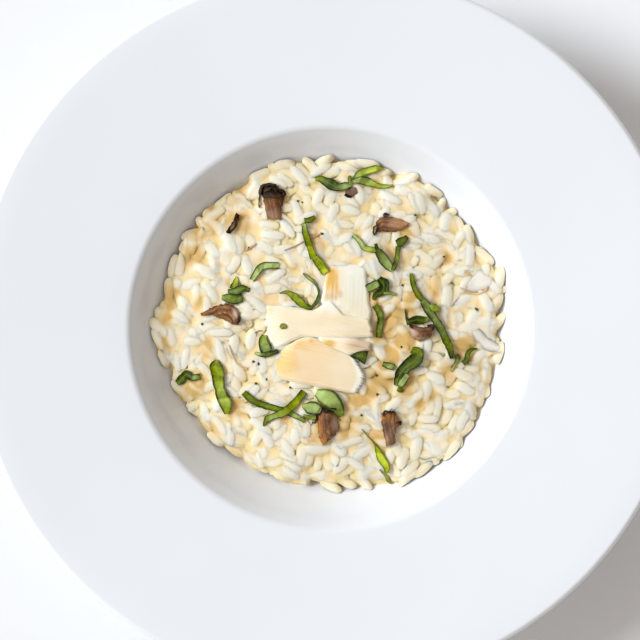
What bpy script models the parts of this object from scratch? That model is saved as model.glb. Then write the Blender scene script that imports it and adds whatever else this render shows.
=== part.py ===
"""Wild mushroom risotto in a wide-rimmed white pasta bowl.

The frame is in metres with +Z up, and its origin is the centre of the foot ring's resting plane. +Y points
to the top of the photograph. The bowl is a turned shell. The risotto is one solid heap that fills the well
out to its uneven edge. The cheese shavings and the mushroom pieces are thin curved sheets that lie on it.
"""
import math

import bmesh
import bpy
import numpy as np
from mathutils import Vector, noise
from mathutils.bvhtree import BVHTree

MM = 0.001

# The bowl
RIM_RADIUS = 140.0 * MM
RIM_HEIGHT = 46.0 * MM
RIM_RISE = 3.0 * MM  # the rim's climb from the well's edge to its lip
LIP_THICKNESS = 4.5 * MM
LIP_ROUNDING = 2.1 * MM
WELL_RADIUS = 79.0 * MM
WELL_EDGE_ROUNDING = 4.0 * MM
WALL_SLOPE = math.radians(48.0)
WALL_THICKNESS = 5.0 * MM
FLOOR_HEIGHT = 9.0 * MM
FLOOR_ROUNDING = 18.0 * MM
UNDERSIDE_HEIGHT = 4.0 * MM
UNDERSIDE_ROUNDING = 15.0 * MM
RIM_ROOT_ROUNDING = 8.0 * MM
FOOT_OUTER_RADIUS = 45.0 * MM
FOOT_INNER_RADIUS = 40.5 * MM
FOOT_DRAFT = 0.8 * MM
BOWL_SEGMENTS = 72
ARC_STEPS = 3
SHARP_ANGLE = math.radians(40.0)  # faces that meet more sharply than this are shaded as a crease

# The heap of risotto
GAP = 0.3 * MM  # kept between pieces that touch
HEAP_HEIGHT = 38.0 * MM  # of its crown, above the resting plane
SHOULDER_HEIGHT = 33.5 * MM  # of the crown's curve, where it reaches the shoulder's radius
SHOULDER_RADIUS = 66.0 * MM
SHOULDER_WIDTH = 15.0 * MM  # of the band in which the crown runs out to the edge
EDGE_THICKNESS = 3.5 * MM
EDGE_ROUNDING = 4.5 * MM
LUMP_SIZE = 13.0 * MM
LUMP_HEIGHT = 1.1 * MM
SCALLOP_HEIGHT = 0.9 * MM
SCALLOP_FREQUENCY = 7.0
HEAP_SEGMENTS = 96
HEAP_RINGS = 11
HEAP_FLOOR_RINGS = 6
RING_CROWDING = 1.6  # 1 spaces the top's rings evenly, more crowds them towards the edge
# The heap's edge, measured every 15 degrees anticlockwise from +X
EDGE_RADII = [radius * MM for radius in (
    67.5, 70.0, 67.5, 66.5, 68.5, 66.0, 67.0, 67.5, 66.5, 67.5, 68.0, 66.5,
    70.0, 66.0, 64.0, 63.5, 62.5, 62.5, 62.5, 64.0, 68.0, 68.5, 67.5, 67.5,
)]

# The photograph, whose camera looks straight down: its pixels become plan positions
PHOTO_CENTRE = (330.0, 328.7)
PHOTO_RIM_RADIUS = 358.0
METRES_PER_PIXEL = RIM_RADIUS / PHOTO_RIM_RADIUS

# The sheets that lie on the heap
SUPPORT_REACH = 1.2 * MM  # how far round a point a sheet feels what is under it
SUPPORT_PROBES = 8  # on the circle at that reach
ABOVE_ALL = 2.0 * RIM_HEIGHT
SETTLE_PASSES = 30
LIFT_POWER = 3  # how suddenly a sheet's end bends up
MUSHROOM_LIFT = (1.0 * MM, 0.5 * MM)
CHEESE_THICKNESS = 1.0 * MM
MUSHROOM_THICKNESS = 1.3 * MM
SLICE_THICKNESS = 1.1 * MM
SLIVER_THICKNESS = 1.0 * MM

COLOURS = {
    "glazed_porcelain": (0.86, 0.88, 0.90),
    "risotto": (0.86, 0.79, 0.62),
    "cheese": (0.96, 0.83, 0.58),
    "mushroom": (0.20, 0.11, 0.06),
    "pale_mushroom": (0.84, 0.77, 0.62),
}
ROUGHNESS = {
    "glazed_porcelain": 0.15,
    "risotto": 0.35,
    "cheese": 0.55,
    "mushroom": 0.6,
    "pale_mushroom": 0.45,
}


def clear_scene():
    for item in list(bpy.data.objects):
        bpy.data.objects.remove(item, do_unlink=True)


def material(name):
    made = bpy.data.materials.get(name)
    if made:
        return made
    made = bpy.data.materials.new(name)
    made.use_nodes = True
    shader = made.node_tree.nodes["Principled BSDF"]
    shader.inputs["Base Color"].default_value = (*COLOURS[name], 1.0)
    shader.inputs["Roughness"].default_value = ROUGHNESS[name]
    shader.inputs["Metallic"].default_value = 0.0
    return made


def make_object(name, mesh_builder, material_name):
    """Turns a finished bmesh into a named object with outward faces and smooth shading."""
    bmesh.ops.recalc_face_normals(mesh_builder, faces=mesh_builder.faces)
    mesh = bpy.data.meshes.new(name)
    mesh_builder.to_mesh(mesh)
    mesh_builder.free()
    mesh.shade_smooth()
    mesh.set_sharp_from_angle(angle=SHARP_ANGLE)
    mesh.materials.append(material(material_name))
    made = bpy.data.objects.new(name, mesh)
    bpy.context.scene.collection.objects.link(made)
    return made


def bridge(builder, ring_a, ring_b):
    """Joins two closed rings of as many points by quads."""
    count = len(ring_a)
    for index in range(count):
        following = (index + 1) % count
        builder.faces.new((ring_a[index], ring_a[following], ring_b[following], ring_b[index]))


def fan(builder, ring, centre):
    """Closes a ring onto one point."""
    count = len(ring)
    for index in range(count):
        builder.faces.new((ring[index], ring[(index + 1) % count], centre))


# ---------------------------------------------------------------- the bowl

def outer_wall_radius(height):
    """Radius of the wall's outside at a height."""
    inside = WELL_RADIUS - (RIM_HEIGHT - RIM_RISE - height) / math.tan(WALL_SLOPE)
    return inside + WALL_THICKNESS / math.sin(WALL_SLOPE)


def rounded_corner(before, corner, after, rounding):
    """Points of the arc that rounds one corner of a profile."""
    corner = Vector(corner)
    incoming = (Vector(before) - corner).normalized()
    outgoing = (Vector(after) - corner).normalized()
    half_angle = incoming.angle(outgoing) / 2.0
    reach = rounding / math.tan(half_angle)
    centre = corner + (incoming + outgoing).normalized() * rounding / math.sin(half_angle)
    start = (corner + incoming * reach - centre).normalized()
    end = (corner + outgoing * reach - centre).normalized()
    return [centre + rounding * start.slerp(end, step / ARC_STEPS) for step in range(ARC_STEPS + 1)]


def rounded_profile(corners):
    """Profile through corners of (radius, height, rounding); rounding 0 keeps a plain point."""
    points = [corner[:2] for corner in corners]
    profile = []
    for index, (radius, height, rounding) in enumerate(corners):
        if rounding == 0.0:
            profile.append(Vector((radius, height)))
        else:
            profile += rounded_corner(points[index - 1], points[index], points[index + 1], rounding)
    return profile


def bowl_profile():
    """The bowl's half section, from the underside's centre, round the lip, to the floor's centre."""
    well_edge_height = RIM_HEIGHT - RIM_RISE
    rim_underside_height = well_edge_height - LIP_THICKNESS
    floor_corner = WELL_RADIUS - (well_edge_height - FLOOR_HEIGHT) / math.tan(WALL_SLOPE)
    return rounded_profile([
        (0.0, UNDERSIDE_HEIGHT, 0.0),
        (FOOT_INNER_RADIUS - FOOT_DRAFT, UNDERSIDE_HEIGHT, 0.0),
        (FOOT_INNER_RADIUS, 0.0, 0.0),
        (FOOT_OUTER_RADIUS, 0.0, 0.0),
        (FOOT_OUTER_RADIUS + FOOT_DRAFT, UNDERSIDE_HEIGHT, 0.0),
        (outer_wall_radius(UNDERSIDE_HEIGHT), UNDERSIDE_HEIGHT, UNDERSIDE_ROUNDING),
        (outer_wall_radius(rim_underside_height), rim_underside_height, RIM_ROOT_ROUNDING),
        (RIM_RADIUS, RIM_HEIGHT - LIP_THICKNESS, LIP_ROUNDING),
        (RIM_RADIUS, RIM_HEIGHT, LIP_ROUNDING),
        (WELL_RADIUS, well_edge_height, WELL_EDGE_ROUNDING),
        (floor_corner, FLOOR_HEIGHT, FLOOR_ROUNDING),
        (0.0, FLOOR_HEIGHT, 0.0),
    ])


def make_bowl():
    builder = bmesh.new()
    profile = bowl_profile()
    rings = []
    for radius, height in profile[1:-1]:
        angles = [math.tau * index / BOWL_SEGMENTS for index in range(BOWL_SEGMENTS)]
        ring = [builder.verts.new((radius * math.cos(a), radius * math.sin(a), height)) for a in angles]
        rings.append(ring)
    for ring_a, ring_b in zip(rings, rings[1:]):
        bridge(builder, ring_a, ring_b)
    fan(builder, rings[0], builder.verts.new((0.0, 0.0, profile[0].y)))
    fan(builder, rings[-1], builder.verts.new((0.0, 0.0, profile[-1].y)))
    return make_object("bowl", builder, "glazed_porcelain")


def inside_height(radius):
    """Height of the bowl's inner surface at a radius, read off its section."""
    inner_points = 2 * (ARC_STEPS + 1) + 1  # the well's edge, the floor's corner and the floor's centre
    outward = bowl_profile()[-inner_points:][::-1]
    return float(np.interp(radius, [point.x for point in outward], [point.y for point in outward]))


# ---------------------------------------------------------------- the risotto

def edge_radius(angle):
    """Radius of the heap's edge: the measured outline, eased between points, with grain-sized scallops."""
    place = angle / math.tau * len(EDGE_RADII)
    index = int(place) % len(EDGE_RADII)
    ease = (1.0 - math.cos(math.pi * (place - int(place)))) / 2.0
    outline = EDGE_RADII[index] * (1.0 - ease) + EDGE_RADII[(index + 1) % len(EDGE_RADII)] * ease
    around = Vector((math.cos(angle), math.sin(angle), 0.0)) * SCALLOP_FREQUENCY
    return outline + SCALLOP_HEIGHT * noise.noise(around)


def heap_floor(radius):
    """Height of the heap's underside, which follows the bowl."""
    return inside_height(radius) + GAP / math.cos(WALL_SLOPE)


def heap_top(angle, radius, edge):
    """Height of the heap's top: a low crown that runs out to a rounded edge as thick as a grain."""
    crown = HEAP_HEIGHT - (HEAP_HEIGHT - SHOULDER_HEIGHT) * (radius / SHOULDER_RADIUS) ** 2
    outward = max(0.0, 1.0 - (edge - radius) / SHOULDER_WIDTH)
    blend = outward * outward * (3.0 - 2.0 * outward)
    edge_top = heap_floor(edge) + EDGE_THICKNESS
    along_edge = min(1.0, max(0.0, 1.0 - (edge - radius) / EDGE_ROUNDING))
    rounding = EDGE_THICKNESS * (1.0 - math.sqrt(1.0 - along_edge ** 2))
    place = Vector((radius * math.cos(angle), radius * math.sin(angle), 0.0)) / LUMP_SIZE
    lumps = LUMP_HEIGHT * noise.noise(place) * (1.0 - along_edge)
    return crown * (1.0 - blend) + edge_top * blend - rounding + lumps


def heap_ring(builder, fraction, on_top):
    ring = []
    for index in range(HEAP_SEGMENTS):
        angle = math.tau * index / HEAP_SEGMENTS
        edge = edge_radius(angle)
        radius = edge * fraction
        height = heap_top(angle, radius, edge) if on_top else heap_floor(radius)
        ring.append(builder.verts.new((radius * math.cos(angle), radius * math.sin(angle), height)))
    return ring


def make_risotto():
    builder = bmesh.new()
    top_fractions = [1.0 - (1.0 - step / HEAP_RINGS) ** RING_CROWDING for step in range(1, HEAP_RINGS)]
    floor_fractions = [step / HEAP_FLOOR_RINGS for step in range(HEAP_FLOOR_RINGS, 0, -1)]
    rings = [heap_ring(builder, fraction, True) for fraction in top_fractions]
    rings += [heap_ring(builder, fraction, False) for fraction in floor_fractions]
    for ring_a, ring_b in zip(rings, rings[1:]):
        bridge(builder, ring_a, ring_b)
    crown = heap_top(0.0, 0.0, edge_radius(0.0))
    fan(builder, rings[0], builder.verts.new((0.0, 0.0, crown)))
    fan(builder, rings[-1], builder.verts.new((0.0, 0.0, heap_floor(0.0))))
    return make_object("risotto", builder, "risotto")


# ---------------------------------------------------------------- the sheets on top

def plan_position(pixel):
    """Plan position in metres of a pixel of the photograph."""
    across = (pixel[0] - PHOTO_CENTRE[0]) * METRES_PER_PIXEL
    upward = (PHOTO_CENTRE[1] - pixel[1]) * METRES_PER_PIXEL
    return across, upward


def spaced_points(pixels, count):
    """Points spaced evenly along a path that is given in pixels."""
    path = np.array([plan_position(pixel) for pixel in pixels])
    walked = np.concatenate(([0.0], np.cumsum(np.hypot(*np.diff(path, axis=0).T))))
    wanted = np.linspace(0.0, walked[-1], count)
    return np.column_stack([np.interp(wanted, walked, path[:, axis]) for axis in (0, 1)])


def height_under(supports, x, y):
    """Top of what lies within reach of a plan position."""
    angles = [math.tau * step / SUPPORT_PROBES for step in range(SUPPORT_PROBES)]
    probes = [(0.0, 0.0)] + [(SUPPORT_REACH * math.cos(a), SUPPORT_REACH * math.sin(a)) for a in angles]
    heights = []
    for across, upward in probes:
        start = Vector((x + across, y + upward, ABOVE_ALL))
        for tree in supports:
            hit = tree.ray_cast(start, Vector((0.0, 0.0, -1.0)))[0]
            if hit:
                heights.append(hit.z)
    return max(heights)


def settled_heights(supports, plan):
    """Lets a stiff sheet sag onto what is under it: it smooths out, but never sinks in."""
    support = np.array([[height_under(supports, *point) for point in row] for row in plan])
    resting = support
    for _ in range(SETTLE_PASSES):
        padded = np.pad(resting, 1, mode="edge")
        beside = padded[:-2, 1:-1] + padded[2:, 1:-1] + padded[1:-1, :-2] + padded[1:-1, 2:]
        resting = np.maximum(support, beside / 4.0)
    return resting + GAP


def make_sheet(supports, name, material_name, thickness, side_a, side_b, grid, arch=0.0, lift=(0.0, 0.0)):
    """A closed curved sheet between two side paths, given in pixels.

    grid is the number of points along and across, arch the rise of its middle across, and lift how far its
    first and its last end bend up. It is added to supports, so that later sheets lie on it.
    """
    along, across = grid
    blend = np.linspace(0.0, 1.0, across)[None, :, None]
    plan = spaced_points(side_a, along)[:, None, :] * (1.0 - blend)
    plan = plan + spaced_points(side_b, along)[:, None, :] * blend
    u = np.linspace(0.0, 1.0, along)[:, None]
    v = np.linspace(0.0, 1.0, across)[None, :]
    relief = arch * np.sin(math.pi * v) + lift[0] * (1.0 - u) ** LIFT_POWER + lift[1] * u ** LIFT_POWER
    bottom = settled_heights(supports, plan) + relief
    builder = bmesh.new()
    layers = []
    for heights in (bottom, bottom + thickness):
        layers.append([[builder.verts.new((*plan[i, j], heights[i, j])) for j in range(across)]
                       for i in range(along)])
    for layer in layers:
        for i in range(along - 1):
            for j in range(across - 1):
                builder.faces.new((layer[i][j], layer[i + 1][j], layer[i + 1][j + 1], layer[i][j + 1]))
    bridge(builder, *(sheet_border(layer) for layer in layers))
    bmesh.ops.triangulate(builder, faces=builder.faces)
    supports.append(BVHTree.FromBMesh(builder))
    return make_object(name, builder, material_name)


def sheet_border(layer):
    """The points round a sheet's edge, in order."""
    far_side = [row[-1] for row in layer[1:-1]]
    near_side = [row[0] for row in layer[1:-1]]
    return layer[0] + far_side + layer[-1][::-1] + near_side[::-1]


def make_cheese(supports):
    """Four thin shavings: the lowest two first, the butter-yellow one on top."""
    make_sheet(
        supports, "cheese_shaving_upper", "cheese", CHEESE_THICKNESS,
        [(341, 261), (337, 275), (330, 288), (323, 302), (334, 309), (345, 315)],
        [(366, 263), (367, 277), (369, 290), (370, 303), (371, 312), (369, 322)],
        grid=(11, 7), arch=0.8 * MM, lift=(0.6 * MM, 0.0))
    make_sheet(
        supports, "cheese_shaving_under", "cheese", CHEESE_THICKNESS,
        [(326, 338), (340, 337), (354, 339), (369, 343)],
        [(328, 350), (338, 353), (350, 356), (370, 350)],
        grid=(7, 4), lift=(0.0, 0.8 * MM))
    make_sheet(
        supports, "cheese_shaving_middle", "cheese", CHEESE_THICKNESS,
        [(265, 306), (293, 307), (317, 309), (329, 301), (346, 314), (371, 320)],
        [(271, 347), (284, 345), (297, 339), (314, 336), (345, 337), (374, 337)],
        grid=(15, 7), arch=0.5 * MM, lift=(0.0, 0.8 * MM))
    make_sheet(
        supports, "cheese_shaving_lower", "cheese", CHEESE_THICKNESS,
        [(279, 351), (292, 342), (303, 338), (316, 336), (337, 348), (351, 356), (366, 369)],
        [(274, 376), (287, 381), (299, 384), (312, 386), (328, 390), (342, 392), (357, 393)],
        grid=(14, 7), arch=0.9 * MM)


def make_mushrooms(supports):
    """Six brown curled pieces and one dark sliver."""
    pieces = [
        ([(259, 184), (261, 196), (263, 206), (266, 217)],
         [(276, 183), (284, 194), (282, 204), (281, 219)], 2.2 * MM),
        ([(377, 221), (383, 216), (391, 216), (400, 218), (409, 222)],
         [(375, 236), (379, 233), (388, 231), (399, 230), (408, 226)], 1.6 * MM),
        ([(200, 313), (212, 307), (222, 304), (231, 304), (237, 311), (240, 318)],
         [(201, 316), (211, 315), (218, 318), (224, 320), (231, 324), (237, 325)], 1.8 * MM),
        ([(409, 323), (420, 327), (435, 326)], [(411, 334), (420, 341), (433, 336)], 3.0 * MM),
        ([(319, 407), (317, 416), (318, 427), (320, 437), (323, 446)],
         [(339, 409), (338, 418), (338, 425), (338, 431), (329, 442)], 2.2 * MM),
        ([(383, 412), (382, 421), (385, 435), (387, 448)],
         [(395, 412), (401, 423), (397, 433), (396, 442)], 1.6 * MM),
    ]
    for number, (side_a, side_b, arch) in enumerate(pieces, start=1):
        make_sheet(
            supports, f"mushroom_piece_{number}", "mushroom", MUSHROOM_THICKNESS, side_a, side_b,
            grid=(8, 5), arch=arch, lift=MUSHROOM_LIFT)
    make_sheet(
        supports, "mushroom_sliver", "mushroom", SLIVER_THICKNESS,
        [(225, 231), (230, 224), (235, 212)], [(229, 233), (235, 224), (239, 214)],
        grid=(6, 3), arch=0.5 * MM)


def make_pale_slices(supports):
    """Three thin pale mushroom slices that lie among the grains."""
    make_sheet(
        supports, "pale_slice_right", "pale_mushroom", SLICE_THICKNESS,
        [(466, 284), (472, 275), (481, 269), (491, 273), (496, 277)],
        [(467, 290), (473, 292), (479, 292), (488, 289), (495, 284)],
        grid=(7, 5), arch=1.0 * MM)
    make_sheet(
        supports, "pale_slice_spike", "pale_mushroom", SLICE_THICKNESS,
        [(472, 328), (480, 328), (491, 338), (503, 346)], [(471, 334), (479, 343), (488, 351), (503, 353)],
        grid=(7, 4), arch=0.8 * MM)
    make_sheet(
        supports, "pale_slice_left", "pale_mushroom", SLICE_THICKNESS,
        [(226, 338), (232, 347), (239, 358), (248, 368)], [(222, 340), (227, 353), (235, 365), (246, 371)],
        grid=(7, 3), arch=0.6 * MM)


def main():
    clear_scene()
    make_bowl()
    risotto = make_risotto()
    corners = [vertex.co.copy() for vertex in risotto.data.vertices]
    faces = [tuple(face.vertices) for face in risotto.data.polygons]
    supports = [BVHTree.FromPolygons(corners, faces)]
    make_cheese(supports)
    make_mushrooms(supports)
    make_pale_slices(supports)


main()
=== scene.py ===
"""Looks of the wild mushroom risotto and its wide-rimmed bowl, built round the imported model.

Everything is in metres, with +Z up and +Y at the top of the photograph. The heap of rice is worked out on a
square grid of heights: real grains are laid one by one on a smaller core until they reach the packed
heap's surface, and the cream is a surface that fills the gaps between them.
"""
import math

import bpy
import numpy as np
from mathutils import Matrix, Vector
from mathutils.bvhtree import BVHTree


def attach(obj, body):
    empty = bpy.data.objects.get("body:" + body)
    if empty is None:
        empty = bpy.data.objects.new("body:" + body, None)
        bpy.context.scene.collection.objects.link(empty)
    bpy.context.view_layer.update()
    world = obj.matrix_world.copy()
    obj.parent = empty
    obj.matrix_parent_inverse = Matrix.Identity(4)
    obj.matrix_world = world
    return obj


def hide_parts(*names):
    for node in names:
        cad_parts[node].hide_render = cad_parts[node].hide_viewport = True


MM = 0.001
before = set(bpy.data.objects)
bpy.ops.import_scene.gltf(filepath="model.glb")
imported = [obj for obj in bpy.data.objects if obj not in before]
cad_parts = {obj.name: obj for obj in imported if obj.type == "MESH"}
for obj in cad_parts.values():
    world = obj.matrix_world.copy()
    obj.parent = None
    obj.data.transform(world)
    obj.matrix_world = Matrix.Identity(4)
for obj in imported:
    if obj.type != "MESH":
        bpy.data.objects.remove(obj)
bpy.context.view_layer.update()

# ---------------------------------------------------------------- sizes

# The bowl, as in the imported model
RIM_RADIUS = 140.0 * MM
RIM_HEIGHT = 46.0 * MM
RIM_RISE = 3.0 * MM
LIP_THICKNESS = 4.5 * MM
LIP_ROUNDING = 2.1 * MM
WELL_RADIUS = 79.0 * MM
WELL_EDGE_ROUNDING = 4.0 * MM
WALL_SLOPE = math.radians(48.0)
WALL_THICKNESS = 5.0 * MM
FLOOR_HEIGHT = 9.0 * MM
FLOOR_ROUNDING = 18.0 * MM
UNDERSIDE_HEIGHT = 4.0 * MM
UNDERSIDE_ROUNDING = 15.0 * MM
RIM_ROOT_ROUNDING = 8.0 * MM
FOOT_OUTER_RADIUS = 45.0 * MM
FOOT_INNER_RADIUS = 40.5 * MM
FOOT_DRAFT = 0.8 * MM
FOOT_ROUNDING = 0.7 * MM
BOWL_SEGMENTS = 240
ROUNDING_STEPS = 8  # points along each rounding of the bowl's profile, less one
WALL_STEPS = 24  # the same where the profile gives the wall under the food
PROFILE_PITCH = 9.0 * MM  # of the profile's straight runs

# The photograph: where the bowl's axis is and how large the rim is, in pixels
PHOTO_SIZE = 640.0
PHOTO_CENTRE = (330.0, 328.7)
PHOTO_RIM_RADIUS = 358.0
PIXEL = RIM_RADIUS / PHOTO_RIM_RADIUS

# The grid of heights
GRID_PITCH = 0.4 * MM
GRID_CELLS = 182
GRID_AXIS = np.arange(-GRID_CELLS, GRID_CELLS + 1) * GRID_PITCH
GRID_X, GRID_Y = np.meshgrid(GRID_AXIS, GRID_AXIS, indexing="ij")
GRID_PLAN = np.stack([GRID_X, GRID_Y], axis=-1)
GRID_RADIUS = np.hypot(GRID_X, GRID_Y)
HEAP_REACH = 73.0 * MM  # how far from the bowl's axis the heap's heights are read

# The rice
GRAIN_LAYER = 8.0 * MM  # depth of the layer of real grains over the core
GRAIN_LENGTH = (8.2 * MM, 10.6 * MM)
GRAIN_WIDTH = (3.4 * MM, 4.6 * MM)
GRAIN_FLATNESS = (0.76, 0.92)  # thickness over width
GRAIN_CONTACT = 68.0  # a soft grain sinks until this percentage of it clears what is under it
GRAIN_SQUASH = 0.4 * MM  # how far it sinks besides
GRAIN_OVERSHOOT = 0.5 * MM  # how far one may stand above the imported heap
GRAIN_TRIALS = 9  # ways of lying that are compared
EDGE_TRIALS = 2  # so that the grains at the outline don't all lie along it
EDGE_NEARNESS = 0.97  # below this share of food round it, a place is at the outline
GRAIN_PICKS = 30  # random places of which the deepest is taken
GRAIN_ROOM = 1.0 * MM  # the least depth of a place that is taken
GRAIN_MISSES = 900  # the laying ends at this many
MISSES_FORGIVEN = 4  # for each grain that fits
GRAIN_TIPPING = 0.13  # spread in radians of a grain's slope
GRAIN_ROLLING = 0.3  # and of its turn about its own length
SETTLING = 0.31  # cooked grains sink into each other: what is left of their relief
SETTLING_SIZE = 3.0 * MM  # over which their mean height is taken
GRAIN_RINGS = 13
GRAIN_SEGMENTS = 14
GRAIN_PIECES = 5
GRAIN_BLUNTNESS = (2.7, 0.45)  # exponents of a grain's outline, whose ends are blunter than an ellipse's
GRAIN_BEND = 0.12  # spread of the bend, of a half-width
GRAIN_BEND_MIDDLE = 0.4  # keeps a bent grain over its centre
GRAIN_TAPER = 0.16
GRAIN_DENTS = (0.09, 1.9 * MM)  # depth as a share of the grain, and size
DENT_AXES = (0.4, 1.0, 1.0)  # how much the dents move a point along, across and up
DENT_SHIFT = 0.05  # gives each grain dents of its own
CHALK = 0.5  # how much whiter the middle of a grain is than its ends
CHALK_RANGE = (-0.1, 0.5)  # how white a grain's ends are

# The cream between the grains
CREAM_SMOOTHING = 3.2 * MM  # over which the cream follows the grains
CREAM_DEPTH = 1.0 * MM  # of the gaps, below the grains' own smoothed relief
FILLET = 0.5 * MM  # how softly the cream climbs a grain
COAT_BLUR = 0.9 * MM  # how far the coat rounds off what it covers
COATED_SHARE = 0.06  # of the grains lie under a film of cream
COATED_SIZE = 14.0 * MM  # of the patches where they do
COATED_SCATTER = 0.25  # how much of that is chance
FILM = 0.12 * MM  # its thickness
FILM_BLUR = 0.35 * MM
CLEAR = (0.25 * MM, 0.5 * MM)  # how far the coat stays under the tops of the other grains
# The gold of low places is golden sauce in the gaps and also a painted shade there, darker than the white
# tops.
RELIEF_SIZE = 2.2 * MM  # over which a place counts as high, and white, or low, and golden
RELIEF_DEPTH = 0.5 * MM  # from golden to white
RELIEF_MIDDLE = 0.47  # how far from golden to white a place at the mean height is
# Painted shade: slopes are made more golden and darker, besides the thicker film of sauce on them.
SLOPE_PAINTED_SHADE = 1.2  # how much more golden a slope is than what is level
RELIEF_BLUR = 0.65 * MM  # of the surface whose height counts
HUG = 0.08 * MM  # how far under a bare grain's top the cream that climbs it ends
HUG_SOFTNESS = 0.25 * MM
MELT_HEIGHT = 0.9 * MM  # how far above the cream a grain's shading is still the cream's
MELT_BLUR = 0.9 * MM  # of the soft surface that shading follows
GRAIN_MELT = 0.92  # least share by which the grains' shading follows that soft surface
CREAM_MELT = 0.9  # the same share for the cream
CREAM_WAVES = (0.2 * MM, 4.0 * MM)  # height and size of the cream's own unevenness
LEAST_WEIGHT = 0.02  # keeps the average of the relief finite away from the food
POCKET_SIZE = 7.0 * MM
POCKET_STRENGTH = 0.08  # how much golden pockets raise the golden level, of RELIEF_DEPTH
# The pools below are golden sauce and also a painted shadow.
POOL_AND_SHADOW_STRENGTH = 0.55  # and how much pools do
POOL_AND_SHADOW_FADE = (1.4, 1.3)  # how strong a pool's colour is in the gaps, and how much weaker on top
POOL_BENDS = (6.0, 5.0 * MM)  # how far the ovals are bent, in pixels, and the size of the bends
# Where the golden sauce pools, darker, as painted shadow too, in deep holes, to the right of the cheese and
# along the heap's left edge: soft ovals of (x, y, half width, half height, strength) in pixels
POOLS_AND_SHADOWS = [
    (376, 301, 9, 13, 1.0), (388, 326, 10, 13, 1.1), (379, 341, 9, 9, 1.2), (378, 384, 13, 15, 1.0),
    (391, 356, 9, 14, 1.1), (361, 399, 14, 7, 0.9), (342, 425, 9, 14, 1.0), (409, 382, 10, 11, 1.0),
    (414, 301, 7, 17, 1.0), (408, 342, 9, 14, 1.2), (399, 312, 9, 13, 1.0), (463, 343, 11, 9, 1.2),
    (283, 200, 8, 9, 0.5), (405, 231, 11, 7, 0.8), (392, 256, 9, 9, 0.4), (195, 253, 10, 13, 1.1),
    (168, 303, 9, 22, 1.0), (240, 222, 11, 12, 0.8), (240, 186, 10, 12, 0.9), (194, 382, 11, 16, 1.0),
    (448, 256, 8, 8, 0.8), (209, 347, 9, 11, 0.7), (197, 303, 8, 8, 0.7), (435, 286, 8, 10, 0.9),
    (451, 371, 9, 9, 0.6), (380, 441, 10, 10, 0.9), (321, 440, 10, 8, 0.5), (283, 300, 14, 10, 0.2),
    (235, 406, 11, 10, 0.8), (279, 418, 9, 7, 0.7), (470, 356, 9, 7, 0.7), (348, 173, 9, 7, 0.6),
    (354, 428, 9, 11, 0.6), (431, 397, 10, 9, 0.6), (207, 226, 11, 10, 0.8), (316, 240, 9, 7, 0.6),
    (359, 190, 8, 6, 0.5), (382, 420, 8, 8, 0.5), (188, 256, 8, 12, 1.0), (199, 232, 11, 9, 0.9),
    (214, 212, 12, 8, 0.8), (232, 196, 10, 7, 0.7), (166, 322, 9, 9, 0.8), (160, 345, 7, 9, 0.6),
    (176, 398, 7, 12, 0.6), (208, 430, 12, 9, 0.5), (236, 455, 12, 7, 0.4), (395, 420, 8, 8, 0.5),
    (421, 400, 8, 6, 0.8), (350, 410, 8, 7, 0.6), (290, 266, 7, 6, 0.4), (311, 275, 5, 8, 0.5),
]

# The core and the heap's outline
CORE_SEGMENTS = 540
CORE_RINGS = 98
CORE_FLOOR_RINGS = 11
CORE_MARGIN = 2.0 * MM  # how far the core goes past the outline
CORE_RING_SPACING = 0.8  # below 1, so that the rings are closer at the outline
WALL_BITE = 0.4 * MM  # how deep the core sits in the bowl's wall
CREAMY_OUTLINE = 0.35  # up to this wetness the cream at the outline stays free of gold
OUTLINE_ANGLES = 180
OUTLINE_RADII = np.arange(55.0, 74.0, 0.2) * MM  # where the outline is looked for
OUTLINE_BLUR = 1.8 * MM
OUTLINE_LEVEL = 0.5  # share of food round it from where a place belongs to the heap
OUTLINE_ONSET = 10.0  # how fast the outline's noise comes in with that share
OVERHANG = 3.9 * MM  # room for grains that lie over the heap's outline
OUTLINE_NOISE = (0.4, 6.0 * MM)  # strength and size
OUTLINE_SLOPE = 0.5  # the wetness at which the cream has its full height

# Toppings
REACH = 0.4 * MM  # a topping rests on the highest point this near
REACH_SPOKES = 8
PRESSED = 0.45  # the share of its worst dip into what lies below by which a supple sheet is lifted

rng = np.random.default_rng(7)


# ---------------------------------------------------------------- meshes

def plan(pixels):
    """Plan positions of pixels of the photograph."""
    pixels = np.asarray(pixels, dtype=float)
    return (pixels - PHOTO_CENTRE) * (PIXEL, -PIXEL)


def place(name, points, faces, material, replaces=(), attributes=None):
    """Makes a smooth-shaded piece of the object that rides on its body."""
    mesh = bpy.data.meshes.new(name)
    mesh.from_pydata(np.asarray(points).tolist(), [], faces)
    mesh.shade_smooth()
    mesh.materials.append(material)
    for key, values in (attributes or {}).items():
        layer = mesh.attributes.new(key, "FLOAT", "POINT")
        layer.data.foreach_set("value", np.asarray(values, dtype=np.float32).ravel())
    made = bpy.data.objects.new(name, mesh)
    bpy.context.scene.collection.objects.link(made)
    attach(made, "root")
    if replaces:
        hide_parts(*replaces)
    return made


def turns(count):
    """Angles of even steps round a circle."""
    return np.arange(count) * math.tau / count


def tilts(rings):
    """Angles from one pole to the other of rings round a ball, without the poles."""
    return np.linspace(0.0, math.pi, rings + 2)[1:-1]


def ring_faces(rings, segments):
    """Faces of a stack of closed rings whose ends fan onto two last points."""
    faces = []
    for ring in range(rings - 1):
        for step in range(segments):
            after = (step + 1) % segments
            low, high = ring * segments, (ring + 1) * segments
            faces.append((low + step, low + after, high + after, high + step))
    first_pole = rings * segments
    last_ring = (rings - 1) * segments
    for step in range(segments):
        after = (step + 1) % segments
        faces.append((after, step, first_pole))
        faces.append((last_ring + step, last_ring + after, first_pole + 1))
    return faces


def repeated(faces, size, count):
    """Faces of a number of copies of a solid that has that many points."""
    return [tuple(number * size + index for index in face) for number in range(count) for face in faces]


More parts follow.
